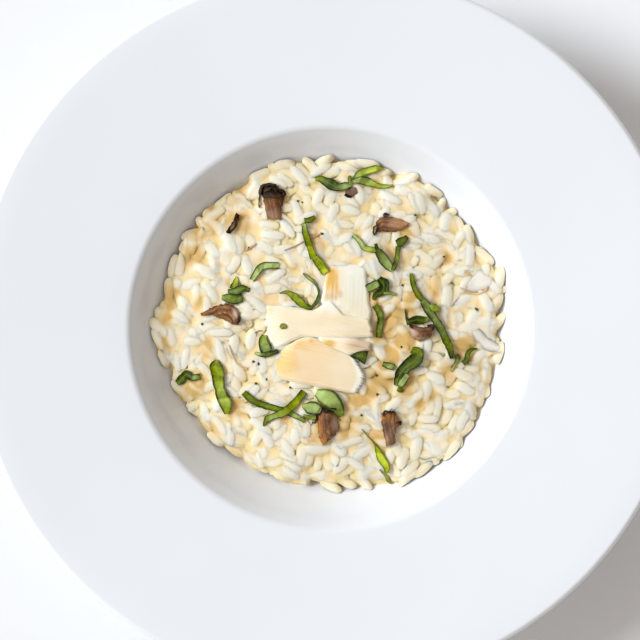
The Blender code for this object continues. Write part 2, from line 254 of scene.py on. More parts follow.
def sheet_faces(along, across):
    """Faces of a closed sheet: a top grid, a bottom grid and the strip between their borders."""
    faces = []
    layer = along * across
    for i in range(along - 1):
        for j in range(across - 1):
            corner = i * across + j
            quad = (corner, corner + across, corner + across + 1, corner + 1)
            faces.append(quad)
            faces.append(tuple(layer + index for index in reversed(quad)))
    border = list(range(across))
    border += [i * across + across - 1 for i in range(1, along)]
    border += [(along - 1) * across + j for j in range(across - 2, -1, -1)]
    border += [i * across for i in range(along - 2, 0, -1)]
    for index, point in enumerate(border):
        after = border[(index + 1) % len(border)]
        faces.append((point, after, layer + after, layer + point))
    return faces


def oriented(points, faces):
    """Turns the faces round where a closed mesh has come out inside out."""
    points = np.asarray(points)
    volume = 0.0
    for size in (3, 4):
        corners = points[np.array([face for face in faces if len(face) == size], dtype=int).reshape(-1, size)]
        for second in range(1, size - 1):
            volume += np.sum(corners[:, 0] * np.cross(corners[:, second], corners[:, second + 1]))
    return faces if volume > 0.0 else [tuple(reversed(face)) for face in faces]


def tree_of(made):
    """A tree for rays against an object whose place is in its mesh."""
    corners = [vertex.co.copy() for vertex in made.data.vertices]
    return BVHTree.FromPolygons(corners, [tuple(face.vertices) for face in made.data.polygons])


def seen_from_above(tree, x, y):
    """A tree's height and face at a plan position; None for both where there is none of it."""
    spot, _, face, _ = tree.ray_cast(Vector((x, y, 2.0 * RIM_HEIGHT)), Vector((0.0, 0.0, -1.0)))
    return (spot.z if spot else None), face


# ---------------------------------------------------------------- noise and grids

TINY = 1e-6
# For the repeatable random numbers: odd factors that scatter the bits of a whole number
SEED_FACTOR = 374761393
AXIS_FACTORS = (668265263, 2246822519, 3266489917)
SCRAMBLE = (2654435761, 1013904223)
WORD = 0xFFFFFFFF  # keeps 32 bits
FRACTION = 0xFFFFFF  # keeps the 24 bits that become the fraction


def clipped(values):
    """Values held between 0 and 1."""
    return np.clip(values, 0.0, 1.0)


def eased(part):
    """Eases fractions out of 0 and into 1."""
    return part * part * (3.0 - 2.0 * part)


def lattice(whole, seed):
    """A repeatable random number from 0 to 1 for each row of whole numbers."""
    mixed = np.full(whole.shape[:-1], seed * SEED_FACTOR & WORD, dtype=np.uint64)
    for axis, factor in zip(range(whole.shape[-1]), AXIS_FACTORS):
        mixed = mixed ^ (whole[..., axis].astype(np.int64).astype(np.uint64) * np.uint64(factor))
        mixed = (mixed * np.uint64(SCRAMBLE[0]) + np.uint64(SCRAMBLE[1])) & np.uint64(WORD)
        mixed = mixed ^ (mixed >> np.uint64(15))
    return (mixed & np.uint64(FRACTION)).astype(float) / float(FRACTION)


def smooth_noise(points, size, seed):
    """Smooth noise from -1 to 1 at points of any dimension up to three, with features of a size."""
    scaled = np.asarray(points, dtype=float) / size
    whole = np.floor(scaled)
    part = eased(scaled - whole)
    dimension = scaled.shape[-1]
    total = np.zeros(scaled.shape[:-1])
    for corner in range(2 ** dimension):
        offset = np.array([(corner >> axis) & 1 for axis in range(dimension)])
        weight = np.prod(np.where(offset == 1, part, 1.0 - part), axis=-1)
        total += weight * lattice(whole + offset, seed)
    return total * 2.0 - 1.0


def line_noise(position, size, seed):
    """Smooth noise along one direction, for lines and fibres."""
    return smooth_noise(np.asarray(position)[..., None], size, seed)


def blurred(grid, width):
    """A grid smoothed with a bell-shaped weight of that width in metres."""
    reach = int(3.0 * width / GRID_PITCH) + 1
    steps = np.arange(-reach, reach + 1)
    kernel = np.exp(-0.5 * (steps * GRID_PITCH / width) ** 2)
    kernel /= kernel.sum()
    for axis in (0, 1):
        padded = np.pad(grid, [(reach, reach) if a == axis else (0, 0) for a in (0, 1)], mode="edge")
        length = grid.shape[axis]
        grid = sum(weight * padded.take(range(step, step + length), axis=axis)
                   for step, weight in enumerate(kernel))
    return grid


def sampled(grid, x, y):
    """Heights of a grid at plan positions, read between its cells."""
    column, row = (np.clip(np.asarray(along) / GRID_PITCH + GRID_CELLS, 0.0, 2.0 * GRID_CELLS - TINY)
                   for along in (x, y))
    i, j = column.astype(int), row.astype(int)
    u, v = column - i, row - j
    near = grid[i, j] * (1.0 - v) + grid[i, j + 1] * v
    far = grid[i + 1, j] * (1.0 - v) + grid[i + 1, j + 1] * v
    return near * (1.0 - u) + far * u


def smooth_max(first, second, softness):
    """The higher of two grids, with a fillet where they meet."""
    return softness * np.logaddexp(first / softness, second / softness)


def cast(tree, cells, unseen):
    """Heights of a tree's top over some of the grid's cells, and its face in each; -1 where there is none."""
    heights = np.full(GRID_X.shape, unseen)
    seen_faces = np.full(GRID_X.shape, -1)
    for i, j in np.argwhere(cells):
        height, face = seen_from_above(tree, GRID_X[i, j], GRID_Y[i, j])
        if height is not None:
            heights[i, j], seen_faces[i, j] = height, face
    return heights, seen_faces


# ---------------------------------------------------------------- materials

EVEN_SCATTER = (1.0, 1.0, 1.0)  # under the surface light spreads as far in red as in blue
CREAM_COLOUR = (0.930, 0.790, 0.572, 1.0)
# Darker gold of sauce pools, also a painted shadow
POOL_AND_SHADOW_COLOUR = (0.720, 0.480, 0.170, 1.0)
CREAM_RANGE = (0.05, 0.5)  # heights from golden to creamy
WHITE_RANGE = (0.4, 1.0)  # and from there to white
# Painted highlight: basil brighter than 1 blends to a pale yellow-green, up to this
PAINTED_HIGHLIGHT_TOP = 1.6  # basil's brightness where it glows


def link(tree, kind, inputs=None, **settings):
    """Adds a shader node; an input is a value or another node's socket."""
    made = tree.nodes.new(kind)
    for key, value in settings.items():
        setattr(made, key, value)
    for key, value in (inputs or {}).items():
        if isinstance(value, bpy.types.NodeSocket):
            tree.links.new(value, made.inputs[key])
        else:
            made.inputs[key].default_value = value
    return made


def srgb(red, green, blue):
    """A colour as read off a screen, 0 to 255, in the renderer's linear values."""
    values = [channel / 255.0 for channel in (red, green, blue)]
    return tuple(v / 12.92 if v <= 0.04045 else ((v + 0.055) / 1.055) ** 2.4 for v in values) + (1.0,)


def new_material(name, **inputs):
    """A Principled material with uniform values set on the shader's own sockets, and its node tree."""
    made = bpy.data.materials.new(name)
    made.use_nodes = True
    shader = made.node_tree.nodes["Principled BSDF"]
    for key, value in inputs.items():
        shader.inputs[key.replace("_", " ")].default_value = value
    return made, made.node_tree


def attribute(tree, name):
    """A value that each point of the mesh carries."""
    return link(tree, "ShaderNodeAttribute", attribute_name=name).outputs["Fac"]


def mix(tree, factor, first, second):
    """Mixes two colours by a factor; its sockets go by number, as other kinds of value share their names."""
    made = link(tree, "ShaderNodeMix", {0: factor, 6: first, 7: second}, data_type="RGBA")
    return made.outputs[2]


def noise_texture(tree, scale, detail=2.0):
    """Noise over the object, with that many features to the metre."""
    place_on_object = link(tree, "ShaderNodeTexCoord").outputs["Object"]
    inputs = {"Scale": scale, "Detail": detail, "Vector": place_on_object}
    return link(tree, "ShaderNodeTexNoise", inputs).outputs["Fac"]


def spread(tree, value, low, high):
    """Stretches a value so that low becomes 0 and high becomes 1."""
    inputs = {"Value": value, "From Min": low, "From Max": high}
    return link(tree, "ShaderNodeMapRange", inputs).outputs["Result"]


def coloured(made, colour):
    """Gives a material its colour."""
    tree = made.node_tree
    tree.links.new(colour, tree.nodes["Principled BSDF"].inputs["Base Color"])
    return made


def roughened(made, scale, detail, depth, strength):
    """Gives a material a fine noisy relief."""
    tree = made.node_tree
    inputs = {"Height": noise_texture(tree, scale, detail), "Distance": depth, "Strength": strength}
    bump = link(tree, "ShaderNodeBump", inputs)
    tree.links.new(bump.outputs["Normal"], tree.nodes["Principled BSDF"].inputs["Normal"])
    return made


def porcelain_material():
    """White glaze, very slightly cool, with the faint unevenness that a fired glaze has."""
    made, tree = new_material("porcelain", Roughness=0.16, Coat_Weight=0.35, Coat_Roughness=0.05)
    tone = spread(tree, noise_texture(tree, scale=18.0), 0.35, 0.65)
    colour = mix(tree, tone, (0.812, 0.828, 0.852, 1.0), (0.825, 0.840, 0.862, 1.0))
    return roughened(coloured(made, colour), scale=60.0, detail=1.0, depth=0.04 * MM, strength=1.0)


def risotto_colour(tree, gold, white):
    """Golden in the hollows and on slopes, where the gold is sauce and painted shade, creamy between, and
    white on top; pools with their painted shadow are a darker gold.
    """
    height = attribute(tree, "height")
    low = mix(tree, spread(tree, height, *CREAM_RANGE), gold, CREAM_COLOUR)
    high = mix(tree, spread(tree, height, *WHITE_RANGE), low, white)
    return mix(tree, attribute(tree, "pool_and_shade"), high, POOL_AND_SHADOW_COLOUR)


def grain_material():
    """Pearly cooked rice: chalky along the middle, clearer at the ends, golden where sauce is round it and,
    as painted shade, on its low sides.
    """
    made, tree = new_material(
        "rice", Roughness=0.45, Subsurface_Weight=1.0, Subsurface_Radius=EVEN_SCATTER,
        Subsurface_Scale=0.9 * MM, Coat_Weight=0.1, Coat_Roughness=0.2, IOR=1.3)
    pearl = mix(tree, attribute(tree, "tone"), (0.828, 0.786, 0.645, 1.0), (0.820, 0.790, 0.690, 1.0))
    colour = risotto_colour(tree, (0.980, 0.718, 0.385, 1.0), pearl)
    return roughened(coloured(made, colour), scale=420.0, detail=3.0, depth=0.12 * MM, strength=0.5)


def cream_material():
    """The starchy cream that binds the grains."""
    made, tree = new_material(
        "cream", Roughness=0.35, Subsurface_Weight=1.0, Subsurface_Radius=EVEN_SCATTER,
        Subsurface_Scale=1.2 * MM, Coat_Weight=0.1, Coat_Roughness=0.15, IOR=1.3)
    patches = spread(tree, noise_texture(tree, scale=130.0, detail=3.0), 0.35, 0.7)
    sauce = mix(tree, patches, (0.980, 0.728, 0.400, 1.0), (0.980, 0.683, 0.335, 1.0))
    colour = risotto_colour(tree, sauce, (0.828, 0.793, 0.685, 1.0))
    return roughened(coloured(made, colour), scale=900.0, detail=3.0, depth=0.15 * MM, strength=0.5)


def cheese_material():
    """Waxy hard cheese: pale where it is dense, amber and clearer where the blade left it thin; its tan is
    painted shade, and the paleness of its raised lines a painted highlight.
    """
    made, tree = new_material(
        "cheese", Roughness=0.5, Subsurface_Weight=1.0, Subsurface_Radius=EVEN_SCATTER,
        Subsurface_Scale=0.4 * MM, IOR=1.42)
    # Painted highlight: the raised blade lines are paler, besides the pale zones, rims and teeth
    pale = mix(tree, attribute(tree, "pale_and_highlight"), (0.980, 0.825, 0.610, 1.0), (0.995, 0.885, 0.760, 1.0))
    amber = mix(tree, attribute(tree, "amber"), pale, (0.800, 0.510, 0.130, 1.0))
    # Painted shade: a dark tan where other shavings lie over this one, and in the grooves
    colour = mix(tree, attribute(tree, "tan"), amber, (0.420, 0.260, 0.110, 1.0))
    return roughened(coloured(made, colour), scale=1500.0, detail=3.0, depth=0.08 * MM, strength=0.5)


def mushroom_material():
    """Brown mushroom skin with fibres, near-black where its edge is dark."""
    made, tree = new_material(
        "mushroom", Roughness=0.6, Subsurface_Weight=0.25, Subsurface_Scale=0.8 * MM, IOR=1.3,
        Specular_IOR_Level=0.3)
    mottle = spread(tree, noise_texture(tree, scale=900.0, detail=4.0), 0.35, 0.65)
    brown = mix(tree, mottle, srgb(126, 84, 50), srgb(184, 134, 92))
    fibre = mix(tree, attribute(tree, "fibre"), srgb(104, 66, 38), brown)
    pale = mix(tree, attribute(tree, "light"), fibre, srgb(226, 202, 180))
    golden = mix(tree, attribute(tree, "gold"), pale, srgb(188, 122, 48))
    edged = mix(tree, attribute(tree, "dark"), golden, srgb(26, 18, 12))
    return roughened(coloured(made, edged), scale=1800.0, detail=4.0, depth=0.2 * MM, strength=0.6)


def pale_slice_material():
    """Pale mushroom flesh with a brown skin at its edge."""
    made, tree = new_material(
        "pale_mushroom", Roughness=0.5, Subsurface_Weight=1.0, Subsurface_Radius=EVEN_SCATTER,
        Subsurface_Scale=0.9 * MM, IOR=1.3)
    colour = mix(tree, attribute(tree, "skin"), (0.825, 0.780, 0.680, 1.0), (0.800, 0.450, 0.170, 1.0))
    return roughened(coloured(made, colour), scale=1200.0, detail=3.0, depth=0.1 * MM, strength=0.5)


def basil_material():
    """Basil: dark glossy upper side, pale underside, veins, and a painted highlight where it is brightest."""
    made, tree = new_material(
        "basil", Roughness=0.4, Subsurface_Weight=0.2, Subsurface_Scale=0.6 * MM, IOR=1.3,
        Specular_IOR_Level=0.2)
    mottle = spread(tree, noise_texture(tree, scale=500.0, detail=4.0), 0.3, 0.7)
    dark = mix(tree, mottle, srgb(20, 36, 6), srgb(50, 68, 10))
    bright = mix(tree, mottle, srgb(120, 136, 0), srgb(166, 174, 0))
    upper = mix(tree, attribute(tree, "bright"), dark, bright)
    # Painted highlight where the basil is brightest
    highlit = mix(tree, spread(tree, attribute(tree, "bright"), 1.0, PAINTED_HIGHLIGHT_TOP), upper, srgb(208, 218, 60))
    under = mix(tree, attribute(tree, "under"), highlit, srgb(178, 196, 122))
    veined = mix(tree, attribute(tree, "vein"), under, srgb(166, 182, 70))
    return roughened(coloured(made, veined), scale=1400.0, detail=4.0, depth=0.15 * MM, strength=0.6)


def pepper_material():
    """Dark mottled crumbs."""
    made, tree = new_material("pepper", Roughness=0.6)
    mottle = noise_texture(tree, scale=2500.0, detail=3.0)
    return coloured(made, mix(tree, mottle, srgb(34, 24, 14), srgb(112, 84, 54)))


# ---------------------------------------------------------------- the bowl

def outer_wall_radius(height):
    """Radius of the wall's outside at a height."""
    inside = WELL_RADIUS - (RIM_HEIGHT - RIM_RISE - height) / math.tan(WALL_SLOPE)
    return inside + WALL_THICKNESS / math.sin(WALL_SLOPE)


def rounded_profile(corners, steps):
    """Profile through corners of (radius, height, rounding); rounding 0 keeps a plain point."""
    profile = []
    for index, (radius, height, rounding) in enumerate(corners):
        corner = Vector((radius, height))
        if rounding == 0.0:
            profile.append(corner)
            continue
        incoming = (Vector(corners[index - 1][:2]) - corner).normalized()
        outgoing = (Vector(corners[index + 1][:2]) - corner).normalized()
        half_angle = incoming.angle(outgoing) / 2.0
        centre = corner + (incoming + outgoing).normalized() * rounding / math.sin(half_angle)
        start = (corner + incoming * rounding / math.tan(half_angle) - centre).normalized()
        end = (corner + outgoing * rounding / math.tan(half_angle) - centre).normalized()
        profile += [centre + rounding * start.slerp(end, step / steps) for step in range(steps + 1)]
    return profile


def bowl_profile(steps):
    """The bowl's half section, from the underside's centre, round the lip, to the floor's centre."""
    edge_height = RIM_HEIGHT - RIM_RISE
    root_height = edge_height - LIP_THICKNESS
    floor_corner = WELL_RADIUS - (edge_height - FLOOR_HEIGHT) / math.tan(WALL_SLOPE)
    return rounded_profile([
        (0.0, UNDERSIDE_HEIGHT, 0.0),
        (FOOT_INNER_RADIUS - FOOT_DRAFT, UNDERSIDE_HEIGHT, FOOT_ROUNDING),
        (FOOT_INNER_RADIUS, 0.0, FOOT_ROUNDING),
        (FOOT_OUTER_RADIUS, 0.0, FOOT_ROUNDING),
        (FOOT_OUTER_RADIUS + FOOT_DRAFT, UNDERSIDE_HEIGHT, FOOT_ROUNDING),
        (outer_wall_radius(UNDERSIDE_HEIGHT), UNDERSIDE_HEIGHT, UNDERSIDE_ROUNDING),
        (outer_wall_radius(root_height), root_height, RIM_ROOT_ROUNDING),
        (RIM_RADIUS, RIM_HEIGHT - LIP_THICKNESS, LIP_ROUNDING),
        (RIM_RADIUS, RIM_HEIGHT, LIP_ROUNDING),
        (WELL_RADIUS, edge_height, WELL_EDGE_ROUNDING),
        (floor_corner, FLOOR_HEIGHT, FLOOR_ROUNDING),
        (0.0, FLOOR_HEIGHT, 0.0),
    ], steps)


def subdivided(profile, longest):
    """Adds points to a profile's long straight runs, so that its shading stays even."""
    fine = [profile[0]]
    for start, end in zip(profile, profile[1:]):
        pieces = max(1, math.ceil((end - start).length / longest))
        fine += [start.lerp(end, step / pieces) for step in range(1, pieces + 1)]
    return fine


def make_bowl():
    """The bowl, turned from its profile."""
    profile = subdivided(bowl_profile(ROUNDING_STEPS), PROFILE_PITCH)
    turned = profile[1:-1]
    angles = turns(BOWL_SEGMENTS)
    circle = np.column_stack([np.cos(angles), np.sin(angles)])
    rings = [np.column_stack([circle * point.x, np.full(BOWL_SEGMENTS, point.y)]) for point in turned]
    points = np.vstack(rings + [[(0.0, 0.0, profile[0].y)], [(0.0, 0.0, profile[-1].y)]])
    faces = oriented(points, ring_faces(len(turned), BOWL_SEGMENTS))
    place("porcelain_bowl", points, faces, porcelain_material(), ["bowl"])


def wall_heights():
    """Height of the bowl's inside over the grid."""
    roundings_and_centre = 2 * (WALL_STEPS + 1) + 1
    outward = bowl_profile(WALL_STEPS)[-roundings_and_centre:][::-1]
    return np.interp(GRID_RADIUS, [point.x for point in outward], [point.y for point in outward])


# ---------------------------------------------------------------- the rice

def turned_axes(yaw, pitch, roll):
    """Rotation whose first column is a grain's long axis."""
    cy, sy, cp, sp, cr, sr = (f(a) for a in (yaw, pitch, roll) for f in (math.cos, math.sin))
    turn = np.array([[cy, -sy, 0.0], [sy, cy, 0.0], [0.0, 0.0, 1.0]])
    tip = np.array([[cp, 0.0, sp], [0.0, 1.0, 0.0], [-sp, 0.0, cp]])
    lean = np.array([[1.0, 0.0, 0.0], [0.0, cr, -sr], [0.0, sr, cr]])
    return turn @ tip @ lean


def grain_surfaces(rotation, half_axes, dx, dy):
    """Lower and upper surface of a grain over plan offsets from its centre; nan outside its outline."""
    form = rotation @ np.diag(1.0 / half_axes ** 2) @ rotation.T
    slope = form[0, 2] * dx + form[1, 2] * dy
    rest = form[0, 0] * dx ** 2 + 2.0 * form[0, 1] * dx * dy + form[1, 1] * dy ** 2 - 1.0
    inside = slope ** 2 - form[2, 2] * rest
    root = np.sqrt(np.where(inside > 0.0, inside, np.nan))
    return (-slope - root) / form[2, 2], (-slope + root) / form[2, 2]


def try_grain(heights, envelope, i, j, trials):
    """Lays one grain at a cell the lowest way of a few; None if every way stands too high."""
    length, width = rng.uniform(*GRAIN_LENGTH), rng.uniform(*GRAIN_WIDTH)
    half_axes = np.array([length, width, width * rng.uniform(*GRAIN_FLATNESS)]) / 2.0
    reach = int(half_axes[0] / GRID_PITCH) + 1
    window = (slice(i - reach, i + reach + 1), slice(j - reach, j + reach + 1))
    dx, dy = GRID_X[window] - GRID_AXIS[i], GRID_Y[window] - GRID_AXIS[j]
    if dx.shape != (2 * reach + 1, 2 * reach + 1):
        return None
    best = None
    for _ in range(trials):
        rotation = turned_axes(
            rng.uniform(0.0, math.tau), rng.normal(0.0, GRAIN_TIPPING), rng.normal(0.0, GRAIN_ROLLING))
        low, high = grain_surfaces(rotation, half_axes, dx, dy)
        centre = np.nanpercentile(heights[window] - low, GRAIN_CONTACT) - GRAIN_SQUASH
        excess = np.nanmax(centre + high - envelope[window])
        if excess < GRAIN_OVERSHOOT and (best is None or centre < best[0]):
            best = (centre, rotation, high)
    if best is None:
        return None
    centre, rotation, high = best
    heights[window] = np.fmax(heights[window], centre + high)
    return np.array([GRID_AXIS[i], GRID_AXIS[j], centre]), rotation, half_axes


def lay_grains(heights, envelope, nearness):
    """Lays grains in the deepest of a few random places until hardly any more fit."""
    open_cells = np.argwhere(envelope - heights > GRAIN_ROOM)
    grains = []
    misses = 0
    while misses < GRAIN_MISSES:
        picks = open_cells[rng.integers(0, len(open_cells), GRAIN_PICKS)]
        depths = envelope[picks[:, 0], picks[:, 1]] - heights[picks[:, 0], picks[:, 1]]
        i, j = picks[np.argmax(depths)]
        trials = GRAIN_TRIALS if nearness[i, j] > EDGE_NEARNESS else EDGE_TRIALS
        grain = try_grain(heights, envelope, i, j, trials)
        if grain is None:
            misses += 1
        else:
            grains.append(grain)
            misses = max(0, misses - MISSES_FORGIVEN)
    return grains


def unit_grain():
    """Points of a grain of half-length, half-width and half-thickness 1: blunt ends, along X."""
    around = turns(GRAIN_SEGMENTS)
    x = -np.cos(tilts(GRAIN_RINGS))
    radius = (1.0 - np.abs(x) ** GRAIN_BLUNTNESS[0]) ** GRAIN_BLUNTNESS[1]
    rings = np.stack([
        np.repeat(x[:, None], GRAIN_SEGMENTS, axis=1),
        radius[:, None] * np.cos(around)[None, :],
        radius[:, None] * np.sin(around)[None, :],
    ], axis=-1)
    return np.vstack([rings.reshape(-1, 3), [(-1.0, 0.0, 0.0), (1.0, 0.0, 0.0)]])


def grain_points(unit, centre, rotation, half_axes, number):
    """One grain's own shape: bent, with a taper and small dents."""
    bend, taper = rng.normal(0.0, GRAIN_BEND), rng.uniform(-GRAIN_TAPER, GRAIN_TAPER)
    along = unit[:, :1]
    body = unit * np.hstack([np.ones_like(along), 1.0 + taper * along, 1.0 + taper * along])
    body[:, 1] += bend * (along[:, 0] ** 2 - GRAIN_BEND_MIDDLE)
    shaped = body * half_axes
    depth, size = GRAIN_DENTS
    dents = smooth_noise(shaped + number * DENT_SHIFT, size, seed=3) * depth
    shaped *= 1.0 + dents[:, None] * np.array(DENT_AXES)
    return shaped @ rotation.T + centre


def coated(cream, points, height):
    """From 1 where a grain comes out of the cream to 0 where it stands clear of it."""
    above = points[:, 2] - sampled(cream, points[:, 0], points[:, 1])
    return eased(clipped(1.0 - above / height))


def slope_normals(surface, points):
    """Normals of a grid of heights at some points."""
    x, y = points[:, 0], points[:, 1]
    east = (sampled(surface, x + GRID_PITCH, y) - sampled(surface, x - GRID_PITCH, y)) / (2.0 * GRID_PITCH)
    north = (sampled(surface, x, y + GRID_PITCH) - sampled(surface, x, y - GRID_PITCH)) / (2.0 * GRID_PITCH)
    normals = np.column_stack([-east, -north, np.ones(len(points))])
    return normals / np.linalg.norm(normals, axis=1, keepdims=True)


def melt_normals(made, surface, share):
    """Turns a piece's shading towards a surface's, by one share or a share for each point, so they blend."""
    mesh = made.data
    own = np.empty(len(mesh.vertices) * 3, dtype=np.float32)
    mesh.vertices.foreach_get("normal", own)
    points = np.array([vertex.co for vertex in mesh.vertices])
    share = np.reshape(share, (-1, 1))
    normals = own.reshape(-1, 3) * (1.0 - share) + slope_normals(surface, points) * share
    normals /= np.maximum(np.linalg.norm(normals, axis=1, keepdims=True), TINY)
    mesh.normals_split_custom_set_from_vertices(normals.tolist())


def settle_grains(shapes, tops):
    """Presses the grains together round the smoothed height of their tops."""
    level = blurred(tops, SETTLING_SIZE)
    for shape in shapes:
        middle = sampled(level, shape[:, 0], shape[:, 1])
        shape[:, 2] = middle + SETTLING * (shape[:, 2] - middle)


def cast_grains(shapes, unit_faces):
    """Heights of the grains' tops over the grid, and which grain is on top in each cell; -1 for none."""
    faces = repeated(unit_faces, len(shapes[0]), len(shapes))
    tree = BVHTree.FromPolygons(np.vstack(shapes).tolist(), faces)
    tops, seen_faces = cast(tree, GRID_RADIUS < HEAP_REACH, 0.0)
    return tops, seen_faces // len(unit_faces)


def make_grains(shapes, unit, unit_faces, cream, surface, level, soft_surface):
    """Joins the grains into a few pieces."""
    material = grain_material()
    for piece in range(GRAIN_PIECES):
        members = shapes[piece::GRAIN_PIECES]
        faces = repeated(unit_faces, len(unit), len(members))
        chalk = [CHALK * (1.0 - unit[:, 0] ** 2) + rng.uniform(*CHALK_RANGE) for _ in members]
        points = np.vstack(members)
        attributes = tones(points, level, soft_surface)
        attributes["tone"] = clipped(np.concatenate(chalk))
        made = place(f"rice_grains_{piece + 1}", points, faces, material, (), attributes)
        melt_normals(made, surface, np.maximum(coated(cream, points, MELT_HEIGHT), GRAIN_MELT))


def coat_heights(shapes, tops, owner):
    """The coat that the cream makes over the grains: over some of them, and up the sides of the others."""
    centres = np.array([shape[:, :2].mean(axis=0) for shape in shapes])
    chance = 0.5 + 0.5 * smooth_noise(centres, COATED_SIZE, seed=6)
    chance += rng.uniform(-COATED_SCATTER, COATED_SCATTER, len(shapes))
    chance -= pooled_and_shaded(centres)
    is_coated = (chance > np.quantile(chance, 1.0 - COATED_SHARE))[owner] & (owner >= 0)
    clear = np.where(owner >= 0, rng.uniform(*CLEAR, len(shapes))[owner], CLEAR[1])
    sides = blurred(tops, COAT_BLUR) - blurred(clear, COAT_BLUR)
    film = blurred(np.where(is_coated, tops + FILM, tops - CLEAR[1]), FILM_BLUR)
    return np.maximum(sides, film)


def cream_heights(tops, owner, under, wall, wetness):
    """The cream's surface: the grains' relief smoothed and sunk, but never lower than the coat."""
    inside = wetness > 0.0
    weight = np.maximum(blurred(inside.astype(float), CREAM_SMOOTHING), LEAST_WEIGHT)
    level = blurred(np.where(inside, tops, 0.0), CREAM_SMOOTHING) / weight - CREAM_DEPTH
    level += CREAM_WAVES[0] * smooth_noise(GRID_PLAN, CREAM_WAVES[1], seed=5)
    level = smooth_max(level, under, FILLET)
    level = np.where(owner >= 0, smooth_max(level, tops - HUG, HUG_SOFTNESS), level)
    edge = clipped(wetness / OUTLINE_SLOPE)
    sloping = edge * (2.0 - edge)
    return wall - WALL_BITE + np.maximum(level - wall + WALL_BITE, 0.0) * sloping


def pooled_and_shaded(spots):
    """How much sauce pooling, with its painted shadow, there is at plan positions, from 0 to 1."""
    bends = [smooth_noise(spots, POOL_BENDS[1], seed) for seed in (21, 22)]
    pixels = spots * (1.0 / PIXEL, -1.0 / PIXEL) + PHOTO_CENTRE
    return zone(pixels + POOL_BENDS[0] * np.stack(bends, axis=-1), POOLS_AND_SHADOWS)


def golden_level(tops, soft_surface, wetness):
    """The height over the grid below which all is at its most golden, as sauce and painted shade: higher in
    golden pockets and in pools with their painted shadow.

    At the heap's outline it follows the surface, which is creamy there.
    """
    pocket = POCKET_STRENGTH * smooth_noise(GRID_PLAN, POCKET_SIZE, seed=9)
    pocket += POOL_AND_SHADOW_STRENGTH * pooled_and_shaded(GRID_PLAN)
    level = blurred(tops, RELIEF_SIZE) - RELIEF_DEPTH * (RELIEF_MIDDLE - pocket)
    outline = clipped(1.0 - wetness / CREAMY_OUTLINE)
    return level + outline * (soft_surface - 0.5 * RELIEF_DEPTH - level)


def relief(points, level, soft_surface):
    """From 0 where points are golden to 1 where they are white: high up and level. Low and sloping places get
    the gold of sauce and of painted shade.
    """
    x, y, _ = points.T
    above = (sampled(soft_surface, x, y) - sampled(level, x, y)) / RELIEF_DEPTH
    steepness = 1.0 - slope_normals(soft_surface, points)[:, 2]
    return clipped(above - SLOPE_PAINTED_SHADE * steepness)


def tones(points, level, soft_surface):
    """The attributes that the rice's and the cream's colours follow."""
    height = relief(points, level, soft_surface)
    pool_and_shade = clipped(pooled_and_shaded(points[:, :2]) * (POOL_AND_SHADOW_FADE[0] - POOL_AND_SHADOW_FADE[1] * height))
    return {"height": height, "pool_and_shade": pool_and_shade}


def make_core(cream, wall, edge, level, soft_surface):
    """The cream as one closed solid that reaches just into the bowl's wall."""
    angles = turns(CORE_SEGMENTS)
    reach = np.interp(angles, *edge, period=math.tau) + CORE_MARGIN
    top_fractions = np.linspace(0.0, 1.0, CORE_RINGS + 1)[1:] ** CORE_RING_SPACING
    floor_fractions = np.linspace(1.0, 0.0, CORE_FLOOR_RINGS + 2)[1:-1]
    rings = []
    for fractions, heights in ((top_fractions, cream), (floor_fractions, wall - WALL_BITE)):
        for fraction in fractions:
            x, y = reach * fraction * np.cos(angles), reach * fraction * np.sin(angles)
            rings.append(np.column_stack([x, y, sampled(heights, x, y)]))
    poles = [(0.0, 0.0, float(sampled(grid, 0.0, 0.0))) for grid in (cream, wall - WALL_BITE)]
    points = np.vstack(rings + [poles])
    faces = oriented(points, ring_faces(len(rings), CORE_SEGMENTS))
    attributes = tones(points, level, soft_surface)
    return place("cream_core", points, faces, cream_material(), ["risotto"], attributes)


def heap_edge(envelope):
    """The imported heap's outline as (angles, radii)."""
    angles = np.linspace(0.0, math.tau, OUTLINE_ANGLES, endpoint=False)
    covered = [~np.isnan(sampled(envelope, OUTLINE_RADII * math.cos(a), OUTLINE_RADII * math.sin(a)))
               for a in angles]
    return angles, np.array([OUTLINE_RADII[max(np.flatnonzero(row), default=0)] for row in covered])


def make_heap():
    """Builds grains and cream, and returns the grid of what a topping lies on."""
    wall = wall_heights()
    envelope, _ = cast(tree_of(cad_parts["risotto"]), GRID_RADIUS < HEAP_REACH, np.nan)
    inside = ~np.isnan(envelope)
    edge = heap_edge(envelope)
    nearness = blurred(inside.astype(float), OUTLINE_BLUR)
    strength, size = OUTLINE_NOISE
    ragged = smooth_noise(GRID_PLAN, size, seed=8)
    wetness = nearness + strength * ragged * clipped(OUTLINE_ONSET * nearness) - OUTLINE_LEVEL
    envelope = np.fmax(envelope, wall + OVERHANG * clipped(2.0 * wetness + 1.0))
    floor = np.maximum(wall, envelope - GRAIN_LAYER)
    grains = lay_grains(floor.copy(), envelope, nearness)
    unit = unit_grain()
    unit_faces = oriented(unit, ring_faces(GRAIN_RINGS, GRAIN_SEGMENTS))
    shapes = [grain_points(unit, *grain, number) for number, grain in enumerate(grains)]
    settle_grains(shapes, np.maximum(cast_grains(shapes, unit_faces)[0], floor))
    tops, owner = cast_grains(shapes, unit_faces)
    tops = np.maximum(tops, floor)
    cream = cream_heights(tops, owner, coat_heights(shapes, tops, owner), wall, wetness)
    surface = np.maximum(tops, cream)
    melted = blurred(surface, MELT_BLUR)
    soft_surface = blurred(surface, RELIEF_BLUR)
    level = golden_level(tops, soft_surface, wetness)
    core = make_core(cream, wall, edge, level, soft_surface)
    melt_normals(core, melted, CREAM_MELT)
    make_grains(shapes, unit, unit_faces, cream, melted, level, soft_surface)
    return surface


# ---------------------------------------------------------------- toppings

